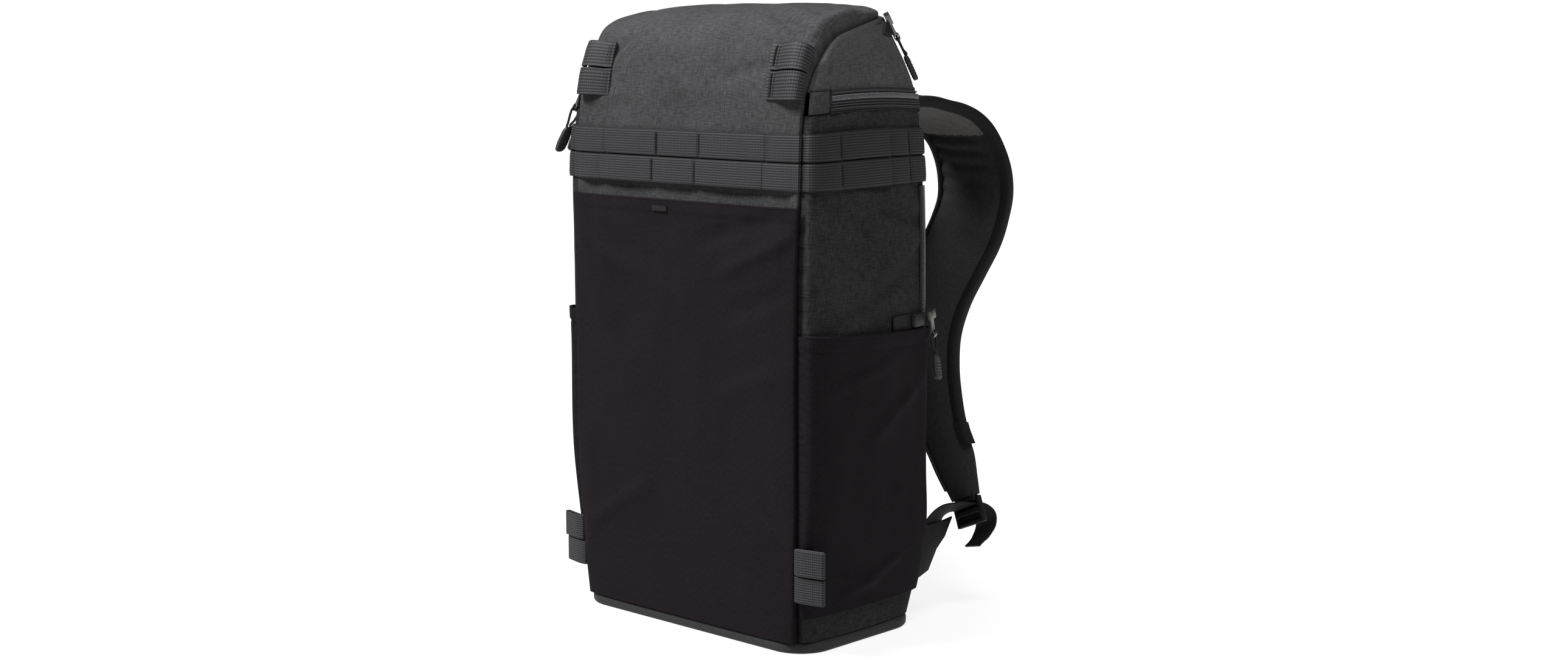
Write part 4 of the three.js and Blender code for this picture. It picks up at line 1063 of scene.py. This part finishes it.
for y in webbingSettings["sideTacks"]:
    along = (y + 62) / 132
    for low in (332, 352):
        for i in range(13):
            a = onSide(low + 2 + i * 1.15, along - 0.008, bag["gap"] + 1.4)
            b = onSide(low + 2.6 + i * 1.15, along + 0.008, bag["gap"] + 1.4)
            stitch("side_webbing", a, b, 0.28)
print("webbing ready")

# lid zip
zipSettings = {
    "tape": 1.6, "depth": 0.1, "coilWidth": 4.2, "coilHeight": 2.0, "pitch": 1.35, "wire": 0.4,
    "ridge": 1.4,
    "ridges": (5.6, -1.6, -3.4, -5.2),
    "half": 7.1, "garageRight": 16, "garageLeft": 6,
}


def lidSlotLine():
    # pairs of points on the slot's two edges, right cheek, back, left cheek
    body, lid, low, high = sideFrame(bag["slot"]), gussetFrame(0), backFrame(backRuns[-1]), rearFrame(0)
    length = (backDepth * 0.869 + halfDepth * 0.882)
    line = []
    for along in cosSpread((zipSettings["garageRight"] + 1.5) / length, 1, 60)[:-1]:
        line.append((cheekPoint(body, along, 0), cheekPoint(lid, along, 0)))
    for across in cosSpread(1, -1, 90):
        line.append((facePoint(low, across, 0), facePoint(high, across, 0)))
    left = []
    for along in cosSpread((zipSettings["garageLeft"] + 1.5) / length, 1, 60)[:-1]:
        pair = [cheekPoint(body, along, 0), cheekPoint(lid, along, 0)]
        left.append(tuple(Vector((-p.x, p.y, p.z)) for p in pair))
    return line + left[::-1]


def slotStations(line):
    middles = [(a + b) / 2 for a, b in line]
    stations = []
    for i, (low, high) in enumerate(line):
        across = (high - low).normalized()
        run = (middles[min(i + 1, len(line) - 1)] - middles[max(i - 1, 0)]).normalized()
        out = run.cross(across).normalized()
        stations.append((middles[i], across, out))
    return stations


def evenStations(stations, spacing):
    runs = [0.0]
    for a, b in zip(stations, stations[1:]):
        runs.append(runs[-1] + max((b[0] - a[0]).length, 1e-4))
    track = smoothTrack(runs, [(*p, *a, *o) for p, a, o in stations])
    count = int(runs[-1] / spacing)
    made = []
    for place in spread(0, runs[-1], count):
        v = track(place)
        made.append((Vector(v[:3]), Vector(v[3:6]).normalized(), Vector(v[6:9]).normalized()))
    return made


def coilMesh(stations, across, base, width, height, wire):
    # a flattened helix: each turn crosses the zip and comes back underneath
    turns = len(stations) - 1
    points, sides = [], []
    steps = 10
    for i in range(turns):
        for j in range(steps):
            share = j / steps
            point = stations[i][0].lerp(stations[i + 1][0], share)
            side = stations[i][1].lerp(stations[i + 1][1], share).normalized()
            out = stations[i][2].lerp(stations[i + 1][2], share).normalized()
            angle = 2 * math.pi * share
            a = across + width / 2 * math.copysign(abs(math.cos(angle)) ** 0.8, math.cos(angle))
            b = base + height / 2 * (1 + math.copysign(abs(math.sin(angle)) ** 0.8, math.sin(angle)))
            points.append(point + side * a + out * b)
            sides.append(stations[i][1].cross(stations[i][2]))
    return sweepMesh(pathStations(points, side=sides), section(5, wire))


def zipPiece(name, stations, s, node, coilAcross):
    half, top = s["half"], -s["depth"]
    outline = [(-half, top - s["tape"]), (half, top - s["tape"]), (half, top)]
    for ridge in s["ridges"]:
        turns = [math.radians(a) for a in range(0, 181, 30)]
        outline += [(ridge + 0.7 * math.cos(a), top + s["ridge"] * math.sin(a)) for a in turns]
    outline.append((-half, top))
    tape = finishMesh(f"{name}_tape", sweepMesh(stations, outline), tapeCloth, sharp=50)
    dress(tape, "zip_tape", node)
    even = evenStations(stations, s["pitch"])
    coil = coilMesh(even, coilAcross, top, s["coilWidth"] - 2 * s["wire"], s["coilHeight"] - s["wire"], s["wire"])
    dress(finishMesh(f"{name}_coil", coil, coilNylon, sharp=80), "zip_tape")


lidSlots = lidSlotLine()
zipPiece("lid_zip", slotStations(lidSlots), zipSettings, "lid_zip", 2)

# folded edges of cloth above and below the coil
for edge, index in (("lower", 0), ("upper", 1)):
    line = [pair[index] for pair in lidSlots]
    inward = [(pair[1 - index] - pair[index]).normalized() for pair in lidSlots]
    points = [p + n * 0.2 for p, n in zip(line, inward)]
    outs = [station[2] for station in slotStations(lidSlots)]
    points = [p - o * 0.9 for p, o in zip(points, outs)]
    roll = sweepMesh(pathStations(points, out=outs), section(8, 1.25))
    cloth = shadedShellSideCloth if edge == "lower" else shellFrontCloth
    dress(finishMesh(f"lid_zip_edge_{edge}", roll, cloth), "shell_cloth")

for hand, side, garage in (("right", 1, 16), ("left", -1, 6)):
    length = backDepth * 0.869 + halfDepth * 0.882
    body, lid = sideFrame(bag["slot"]), gussetFrame(0)

    def patchPoint(share, along, out):
        return cheekPoint(body, along, out).lerp(cheekPoint(lid, along, out), share)

    def patchOut(along, share):
        return 0.5 - 0.7 * abs(2 * share - 1) ** 5 + edgeTuck(garage - along * length, 1.5, 0.8)

    patch = gridMesh(spread(0.002, garage / length, 25), spread(0.02, 0.98, 21), lambda share: share,
                     patchPoint, patchOut, (length, 16))
    dress(finishMesh(f"zip_garage_{hand}_patch", patch, shellFrontCloth, 1.5, mirror=side < 0),
          "shell_cloth", f"zip_garage_{hand}")

# top zip
topSettings = dict(zipSettings, half=3.6, depth=1.0, ridge=0.8, coilWidth=3.8, pitch=1.35, ridges=(2.6, -2.6))
lidEdge, rearEdge = frontFrame(frontRuns[-1]), rearFrame(rearRuns[-1])
topSpan = rearEdge["centre"] - lidEdge["centre"]
topUp = Vector((0, -topSpan.z, topSpan.y)).normalized()
for name in ("edgeOut", "centreOut"):
    lidEdge[name] = topUp
    rearEdge[name] = topUp
topLine = [(facePoint(rearEdge, a, 0), facePoint(lidEdge, a, 0)) for a in spread(0.915, -0.915, 110)]
topSettings["half"] = min((b - a).length for a, b in topLine) / 2 - 0.6
zipPiece("top_zip", slotStations(topLine), topSettings, "top_zip", 0)
for hand, side in (("right", 1), ("left", -1)):

    def topPatchOut(along, place):
        return bag["gap"] + 1.4 + edgeTuck((along - 0.74) * 60, 1.5, 0.9) + edgeTuck((place - 6) * 9, 1.5, 0.9)

    patch = finishMesh(
        f"top_garage_{hand}_patch",
        gridMesh(spread(0.74, 1, 21), spread(6, 8, 21), gussetFrame, cheekPoint, topPatchOut, (60, 9)),
        darkWebbing, 1.4, mirror=side < 0)
    dress(patch, "webbing", f"top_garage_{hand}")
print("zips ready")

# gear loops
upperLoopSettings = {
    "height": 410, "inner": 83, "rise": 6.5, "leftShift": 5, "thick": 1.4, "width": 19,
    "path": [(1, 0.13), (0.84, 0.13), (0.64, 0.45), (0.42, 0.82), (0.2, 1), (0.06, 0.9), (0, 0.62), (0, 0.25)],
}


def climbFrom(height, distance):
    def place(h):
        return onFront(upperLoopSettings["inner"], h, 0)

    top, length = height, 0.0
    while length < distance:
        length += (place(top) - place(top + 0.2)).length
        top += 0.2
    return top


upperLoopRows = {
    "a": (climbFrom(410, 0.5), climbFrom(410, 19)),
    "b": (410 - 19 + 2.8, 409.4),
}
for letter, (low, high) in upperLoopRows.items():
    s = upperLoopSettings
    path = smoothPath([(i, r, 0) for i, r in s["path"]], 34)

    def loopFrame(height):
        return frontFrame(frontRun(height))

    for hand, side in (("right", 1), ("left", -1)):
        shift = 0 if side > 0 else s["leftShift"]

        def loopPoint(row, column, out):
            inward, rise, _ = path[round(column)]
            length = row["edge"].x - s["inner"]
            before, after = path[max(round(column) - 1, 0)], path[min(round(column) + 1, len(path) - 1)]
            run = Vector((-(after[0] - before[0]) * length, (after[1] - before[1]) * s["rise"])).normalized()
            x = row["edge"].x - shift - length * inward - run.y * out
            lift = bag["gap"] + s["thick"] / 2 + s["rise"] * (rise - 0.13) + run.x * out
            return facePoint(row, x / (row["edge"].x + lift), lift)

        loop = finishMesh(
            f"upper_loop_{hand}_{letter}_strap",
            gridMesh(list(range(34)), spread(low, high, 13), loopFrame, loopPoint, lambda c, h: 0.7, (1.15, 1)),
            bagWebbing, s["thick"], mirror=side < 0)
        dress(loop, "webbing", f"upper_loop_{hand}_{letter}")
        for i in range(11):
            height = low + 2 + i * (high - low - 4) / 10
            for x in (84.6 - shift, 87.8 - shift):
                a, b = onFront(x, height, 2.0), onFront(x + 1.9, height + 0.9, 2.0)
                a.x, b.x = a.x * side, b.x * side
                stitch("upper_loops", a, b, 0.3)

lowerLoopSettings = {
    "reach": 23, "right": 60, "left": 49, "fold": 4.4, "turn": 77, "thick": 1.4, "width": 19,
    "path": [(0, 0), (0, -0.6), (0.3, -0.5), (0.9, -0.5), (0.97, -0.35), (1, 0), (0.97, 0.35), (0.9, 0.5),
             (0.3, 0.5)],
}


def lowerLoop(height):
    s = lowerLoopSettings
    row = frontFrame(frontRun(height))
    thick = s["fold"] - s["thick"]
    behind = 1.5 + 5 * bag["gap"] + s["fold"] / 2
    seat = Vector((row["edge"].x + 1.5 + s["thick"] / 2 + 4 * bag["gap"], row["edge"].y - behind, height))
    turn = math.radians(s["turn"])
    reach = Vector((math.sin(turn), math.cos(turn), 0))
    aside = Vector((reach.y, -reach.x, 0))
    ring = [seat + reach * (along * s["reach"]) + aside * (off * thick) for along, off in s["path"]]
    runs = list(range(len(ring) + 3))
    around = smoothTrack(runs, [tuple(ring[(i - 1) % len(ring)]) for i in runs])
    points = [Vector(around(1 + len(ring) * i / 45)) for i in range(45)]
    stations = []
    for i, point in enumerate(points):
        run = (points[(i + 1) % 45] - points[i - 1]).normalized()
        stations.append((point, run.cross(Vector((0, 0, 1))), Vector((0, 0, 1))))
    return stations


def strapOutline(thick, width, rim=0.45, steps=10):
    half = thick / 2
    low = [(-half, rim), (-half + rim, 0), (half - rim, 0), (half, rim)]
    up = [(half, rim + (width - 2 * rim) * i / steps) for i in range(1, steps)]
    top = [(half, width - rim), (half - rim, width), (-half + rim, width), (-half, width - rim)]
    down = [(-half, rim + (width - 2 * rim) * i / steps) for i in range(steps - 1, 0, -1)]
    return low + up + top + down


for hand, side, middle in (("right", 1, 60), ("left", -1, 49)):
    for letter, low in (("a", middle + 0.5), ("b", middle - 0.5 - 19)):
        loop = finishMesh(
            f"lower_loop_{hand}_{letter}_strap",
            sweepMesh(lowerLoop(low), strapOutline(1.4, 19), closed=True), bagWebbing, mirror=side < 0)
        dress(loop, "webbing", f"lower_loop_{hand}_{letter}")
print("gear loops ready")

# side zip, tucked strap and buckle
sideZipSettings = {
    "place": 0.955, "low": 230.5, "high": 329.3, "half": 3.0, "tape": 1.6, "top": 2.2,
    "pitch": 1.15, "coilWidth": 2.0, "coilHeight": 0.9, "wire": 0.3,
}


def sideZipStations(s):
    stations = []
    for height in spread(s["low"], s["high"], 40):
        row = sideFrame(height)
        across = (cheekPoint(row, s["place"] + 0.01, 0) - cheekPoint(row, s["place"] - 0.01, 0)).normalized()
        above, below = (cheekPoint(sideFrame(height + step), s["place"], 0) for step in (1, -1))
        up = (above - below).normalized()
        stations.append((cheekPoint(row, s["place"], 0), across, across.cross(up).normalized()))
    return stations


sideZipLine = sideZipStations(sideZipSettings)
half, top, deep = (sideZipSettings[key] for key in ("half", "top", "tape"))
tapeOutline = [(-half, top - deep), (half, top - deep), (half, top), (-half, top)]
dress(finishMesh("side_zip_tape", sweepMesh(sideZipLine, tapeOutline), tapeCloth, sharp=50), "zip_tape", "side_zip")
coil = coilMesh(evenStations(sideZipLine, sideZipSettings["pitch"]), 0, top,
                *(sideZipSettings[key] for key in ("coilWidth", "coilHeight", "wire")))
dress(finishMesh("side_zip_coil", coil, coilNylon, sharp=80), "zip_tape")
tucked = finishMesh(
    "side_strap_band",
    gridMesh(spread(0.66, 0.9, 33), spread(214, 236, 19), sideFrame, cheekPoint,
             lambda along, height: bag["gap"] + 1.4 + edgeTuck((along - 0.66) * 135, 1.2, 0.6), (135, 1)),
    darkWebbing, 1.4)
dress(tucked, "webbing", "side_strap")
softenedCopy("side_buckle", blackPlastic, 0.6, 3, slotName="black_plastic")

# zip pulls
pullSettings = {"cord": 1.8, "ribs": 5, "grip": 20}
cordRoutes = {
    "lid_pull_a": [
        (-131.87, -55.73, 368.81), (-132.9, -56.04, 369.27), (-131.09, -53.53, 373.4), (-130.23, -51.84, 376.27),
        (-129.37, -50.5, 379.26), (-128.9, -50.38, 381.11), (-128.55, -51.23, 382.79), (-128.42, -52.82, 383.85),
        (-128.55, -54.73, 384), (-128.9, -56.44, 383.21), (-129.37, -57.49, 381.68), (-130.23, -58.28, 378.5),
        (-131.09, -58.73, 375.2), (-131.95, -59.18, 371.9), (-132.82, -59.96, 368.72),
    ],
    "lid_pull_b": [
        (-132.21, -43.22, 369.5), (-133.24, -43.54, 369.96), (-131.37, -41.14, 374.14), (-130.47, -39.53, 377.04),
        (-129.56, -38.26, 380.04), (-129.07, -38.19, 381.89), (-128.7, -39.08, 383.55), (-128.57, -40.7, 384.57),
        (-128.7, -42.6, 384.67), (-129.07, -44.29, 383.84), (-129.56, -45.31, 382.29), (-130.47, -46.01, 379.11),
        (-131.37, -46.38, 375.81), (-132.27, -46.74, 372.51), (-133.18, -47.45, 369.32),
    ],
    "top_pull": [
        (105.81, 57.67, 423.79), (106.22, 58.57, 424.43), (105.95, 55.1, 428.25), (105.99, 53.01, 430.98),
        (105.77, 51.15, 433.81), (105.18, 50.55, 435.53), (104.02, 50.75, 437.04), (102.62, 51.68, 437.95),
        (101.35, 53.11, 438.01), (100.54, 54.65, 437.2), (100.42, 55.88, 435.74), (101.07, 57.36, 432.76),
        (101.97, 58.61, 429.69), (102.87, 59.87, 426.62), (103.52, 61.35, 423.64),
    ],
    "side_pull": [
        (120.36, 76.62, 203.73), (121.28, 77.32, 203.94), (121.07, 75.11, 208.61), (121.27, 73.76, 211.76),
        (121.36, 72.74, 214.99), (121.23, 72.8, 216.9), (120.86, 73.77, 218.51), (120.34, 75.39, 219.38),
        (119.82, 77.23, 219.29), (119.43, 78.8, 218.26), (119.29, 79.67, 216.56), (119.36, 80.13, 213.2),
        (119.53, 80.26, 209.77), (119.69, 80.39, 206.34), (119.76, 80.85, 202.98),
    ],
}


def gripOutline(share):
    s = pullSettings
    track = smoothTrack([0, 0.06, 0.3, 0.8, 0.93, 1], [[0.6], [0.8], [1], [1], [0.85], [0.45]])
    wide = 4 * track(share)[0]
    groove = max(math.cos((share - 0.2) * 2 * math.pi * s["ribs"] / 0.6), 0) if 0.22 < share < 0.8 else 0
    deep = 2 * (1 - abs(2 * share - 1) ** 5 * 0.3) - 0.35 * groove
    outline = []
    for i in range(20):
        angle = 2 * math.pi * i / 20
        c, d = math.cos(angle), math.sin(angle)
        outline.append((wide * math.copysign(abs(c) ** 0.6, c), deep * math.copysign(abs(d) ** 0.45, d)))
    return outline


for name, route in cordRoutes.items():
    points = [Vector(p) for p in route]
    across = (points[-1] - points[0]).normalized()
    foot = (points[0] + points[-1]) / 2
    hang = (foot - points[7]).normalized()
    off = hang.cross(across).normalized()
    line = [Vector(p) for p in smoothPath(points, 57)]
    body = sweepMesh(pathStations(line, out=off), section(10, pullSettings["cord"] / 2))
    cordPiece = finishMesh(f"{name}_cord_loop", body, pullCordFinish)
    dress(cordPiece, "pull_cord", f"{name}_cord")
    stations = [(foot + hang * (0.3 + pullSettings["grip"] * t), across, off) for t in spread(0, 1, 45)]
    shares = spread(0, 1, 45)
    gripBody = sweepMesh(stations, lambda j: gripOutline(shares[j]))
    gripPiece = finishMesh(f"{name}_grip_moulding", gripBody, gripRubber, sharp=50)
    dress(gripPiece, "grip_rubber", f"{name}_grip")
    softenedCopy(f"{name}_slider", sliderMetal, 0.45, 3, slotName="slider_metal")
    length = sum((b - a).length for a, b in zip(line, line[1:])) * 0.001
print("pulls ready")

# shoulder straps
strapSettings = {
    "thick": 12, "edge": 5, "reach": 122, "top": 388.5, "side": 100, "binding": 8.5, "cover": 1.0,
    # height, depth, width
    "folds": [(360.5, 4.6, 3.6), (349.5, 3.8, 3.8), (338.5, 3.0, 4.2), (323.5, 2.2, 5.0), (311, 1.6, 5.5),
              (298, 1.1, 6), (276, 0.8, 7)],
}
# back, outer, outerUp, inner, innerUp, thick
strapRows = [
    (0.033, 0.8, 0.942, 0.1, 0.942, 0.42),
    (0.082, 0.82, 0.973, 0.12, 0.973, 0.55),
    (0.221, 0.84, 0.999, 0.14, 0.996, 0.9),
    (0.361, 0.85, 1.0, 0.15, 0.999, 1),
    (0.5, 0.863, 0.992, 0.18, 0.988, 1),
    (0.639, 0.888, 0.983, 0.22, 0.97, 1),
    (0.754, 0.916, 0.968, 0.27, 0.946, 1),
    (0.844, 0.942, 0.945, 0.31, 0.921, 1),
    (0.926, 0.97, 0.906, 0.32, 0.883, 1),
    (0.984, 0.995, 0.855, 0.31, 0.837, 1),
    (1.0, 0.995, 0.808, 0.295, 0.795, 1),
    (0.975, 0.98, 0.762, 0.26, 0.754, 1),
    (0.91, 0.967, 0.712, 0.205, 0.699, 1),
    (0.803, 0.921, 0.652, 0.17, 0.644, 1),
    (0.705, 0.868, 0.592, 0.15, 0.587, 1),
    (0.623, 0.859, 0.533, 0.15, 0.53, 1),
    (0.557, 0.907, 0.474, 0.22, 0.474, 1),
    (0.516, 0.974, 0.416, 0.38, 0.412, 1),
    (0.484, 1.062, 0.359, 0.58, 0.345, 0.95),
    (0.467, 1.17, 0.308, 0.74, 0.291, 0.9),
    (0.451, 1.217, 0.268, 0.84, 0.255, 0.8),
    (0.434, 1.26, 0.232, 1.0, 0.203, 0.6),
]


def strapEdgesAt(row):
    back, outer, outerUp, inner, innerUp, thick = row
    s = strapSettings
    y = backDepth + s["reach"] * back
    return (y, s["side"] * outer, s["top"] * outerUp, s["side"] * inner, s["top"] * innerUp, thick)


strapNumbers = [strapEdgesAt(row) for row in strapRows]


def strapMiddle(row):
    return ((row[1] + row[3]) / 2, row[0], (row[2] + row[4]) / 2)


strapRuns = [0.0]
for a, b in zip(strapNumbers, strapNumbers[1:]):
    strapRuns.append(strapRuns[-1] + math.dist(strapMiddle(a), strapMiddle(b)))
strapTrack = smoothTrack(strapRuns, strapNumbers)


def strapFrameAt(run):
    def middleAt(place):
        y, outer, outerZ, inner, innerZ, thick = strapTrack(place)
        return Vector(((outer + inner) / 2, y, (outerZ + innerZ) / 2))

    y, outer, outerZ, inner, innerZ, thick = strapTrack(run)
    across = Vector((outer - inner, 0, outerZ - innerZ))
    width = across.length
    across.normalize()
    along = (middleAt(run + 1) - middleAt(run - 1)).normalized()
    off = along.cross(across).normalized()
    return {"middle": middleAt(run), "across": across, "off": off, "width": width, "thick": thick, "run": run}


def strapHalf(share, thick):
    s = strapSettings
    return blend(s["edge"], s["thick"], 1 - abs(2 * share - 1) ** 2.5) * thick / 2


def strapRunAt(height):
    low, high = strapRuns[6], strapRuns[-1]
    for _ in range(30):
        middle = (low + high) / 2
        row = strapTrack(middle)
        if (row[2] + row[4]) / 2 > height:
            low = middle
        else:
            high = middle
    return low


foldRuns = [(strapRunAt(height), depth, width) for height, depth, width in strapSettings["folds"]]


def strapFolds(run, share):
    total = 0.0
    for at, depth, width in foldRuns:
        lean = (share - 0.5) * 10
        fade = (1 - share) ** 0.35 * smoothstep(1.0, 0.62, share)
        total += depth * math.exp(-((run - at - lean) / width) ** 2) * fade
    return total


def strapOutlineAt(place):
    f = strapFrameAt(place)
    outline = []
    count = 48
    for i in range(count):
        angle = 2 * math.pi * i / count
        c, d = math.cos(angle), math.sin(angle)
        share = 0.5 - 0.5 * math.copysign(abs(c) ** 0.75, c)
        high = strapHalf(share, f["thick"]) * math.copysign(abs(d) ** 0.5, d)
        if d > 0:
            high -= strapFolds(place, share) * abs(d) ** 0.5
        high += 0.25 * wavy(share * 60, place, 20, 91 if d > 0 else 95) * abs(d)
        outline.append(((share - 0.5) * f["width"], high))
    return outline


strapPlaces = spread(0.5, strapRuns[-1] - 0.5, 241)
strapFrames = [strapFrameAt(place) for place in strapPlaces]
strapStations = [(f["middle"], f["across"], f["off"]) for f in strapFrames]


def bindingOutline(f, edge, wide, cover):
    middle = edge * (f["width"] / 2 - wide / 2 + cover)
    high = strapHalf(0.03, f["thick"]) + cover
    outline = []
    for i in range(16):
        angle = 2 * math.pi * i / 16
        c, d = math.cos(angle), math.sin(angle)
        outline.append((middle + wide / 2 * math.copysign(abs(c) ** 0.55, c),
                        high * 1.12 * math.copysign(abs(d) ** 0.6, d)))
    return outline


def bindingRun(name, low, high, edge, wide, cover, material, side):
    chosen = [f for f in strapFrames if low <= f["run"] <= high]
    stations = [(f["middle"], f["across"], f["off"]) for f in chosen]
    body = sweepMesh(stations, lambda j: bindingOutline(chosen[j], edge, wide, cover))
    return dress(finishMesh(name, body, material, mirror=side < 0), "webbing")


bindingBlack = ribbedWebbing("bindingBlack", (0.0025, 0.0025, 0.0027), (0.0065, 0.0065, 0.0068), 0.8)
rimCloth = ribbedWebbing("rimCloth", (0.012, 0.012, 0.012), (0.03, 0.03, 0.03), 0.8)
strapLength = strapRuns[-1]
for hand, side in (("right", 1), ("left", -1)):
    body = sweepMesh(strapStations, lambda j: strapOutlineAt(strapPlaces[j]))
    body = finishMesh(f"shoulder_strap_{hand}_pad", body, strapCloth, mirror=side < 0)
    dress(body, "shell_cloth", f"shoulder_strap_{hand}")
    body.data.materials.append(liningCloth)
    for face in body.data.polygons:
        point = face.center
        if point.z > 0.361 and point.y < 0.19 and face.normal.z < 0.3:
            face.material_index = 1
    wide = strapSettings["binding"]
    bindingRun(f"strap_binding_{hand}_outer", 4, strapLength - 58, 1, wide, strapSettings["cover"],
               bindingBlack, side)
    bindingRun(f"strap_binding_{hand}_end", strapLength - 66, strapLength - 44, 1, wide + 1.4, 1.9,
               bindingBlack, side)
    bindingRun(f"strap_binding_{hand}_inner", 4, strapLength - 6, -1, 3.0, 0.7, rimCloth, side)
    softenedCopy(f"ladder_lock_{hand}", blackPlastic, 0.9, 3, slotName="black_plastic")
    softenedCopy(f"strap_wing_{hand}", darkWebbing, 0.35, 2, slotName="webbing")

lockSettings = {"rim": 3, "slot": 5.4, "webbing": 20, "thick": 1.4}
end, last = strapNumbers[-1], strapNumbers[-2]
lockAcross = Vector((end[1] - end[3], 0, end[2] - end[4])).normalized()
endMiddle, lastMiddle = Vector(strapMiddle(end)), Vector(strapMiddle(last))
lockDown = endMiddle - lastMiddle
lockDown = (lockDown - lockAcross * lockDown.dot(lockAcross)).normalized()
slotAt = endMiddle + lockDown * (2 * bag["gap"] + lockSettings["rim"] + lockSettings["slot"] / 2)
# x, y, z, twist
ribbonRows = [
    (-11.2, -34, -18, 0), (-11.2, -28, -10.5, 0.1), (-9.7, -20.5, -3, 0.4), (-5.7, -11, 0.2, 0.75),
    (-0.2, -3.5, 0.4, 1), (0.2, 3.5, -0.4, 1), (3.2, 11, -3.5, 1), (4.1, 16.5, -9, 1), (3.8, 17.5, -17, 1),
    (2.8, 12.5, -26, 1), (1.6, 4, -32, 1),
]
ribbonPath = smoothPath(ribbonRows, 61)
ribbonMiddles = [slotAt + Vector(p[:3]) for p in ribbonPath]
ribbonStations = []
for i, point in enumerate(ribbonMiddles):
    run = (ribbonMiddles[min(i + 1, 60)] - ribbonMiddles[max(i - 1, 0)]).normalized()
    across = Vector((0, -0.75, 0.66)).lerp(lockAcross, min(max(ribbonPath[i][3], 0), 1))
    across = (across - run * across.dot(run)).normalized()
    ribbonStations.append((point, run.cross(across).normalized(), across))


def slabOutline(thick, width, rim, steps=8):
    return [(a, b - width / 2) for a, b in strapOutline(thick, width, rim, steps)]


ribbonOutline = slabOutline(lockSettings["thick"], lockSettings["webbing"], 0.4, 12)
# tab that holds the lock to the pad, and the ply of webbing behind the lock's windows
tabSettings = {
    "start": -7, "end": 3.6, "thick": 5.4, "width": 22,
    "plyStart": 2, "plyEnd": 20.5, "plyWidth": 23, "behind": 1.6,
}
lockOut = lockDown.cross(lockAcross).normalized()


def slabStations(start, end, off, count):
    return [(endMiddle + lockDown * d + lockOut * off, lockOut, lockAcross) for d in spread(start, end, count)]


for hand, side in (("right", 1), ("left", -1)):
    t = tabSettings
    tab = sweepMesh(slabStations(t["start"], t["end"], 0, 13), slabOutline(t["thick"], t["width"], 1.4))
    dress(finishMesh(f"lock_tab_{hand}", tab, darkWebbing, mirror=side < 0), "webbing")
    ply = sweepMesh(slabStations(t["plyStart"], t["plyEnd"], -t["behind"], 13), slabOutline(1.2, t["plyWidth"], 0.3))
    dress(finishMesh(f"lock_ply_{hand}", ply, darkWebbing, mirror=side < 0), "webbing")
for hand, side in (("right", 1), ("left", -1)):
    ribbon = sweepMesh(ribbonStations, ribbonOutline)
    dress(finishMesh(f"strap_webbing_{hand}_ribbon", ribbon, darkWebbing, mirror=side < 0),
          "webbing", f"strap_webbing_{hand}")
print("straps ready")

sewThreads()


# floor
def makeFloor():
    bm = bmesh.new()
    bmesh.ops.create_grid(bm, x_segments=1, y_segments=1, size=floorSettings["size"] / 2)
    floor = finishMesh("floor", bm, floorGlowWithShadow)


makeFloor()
print("scene ready")
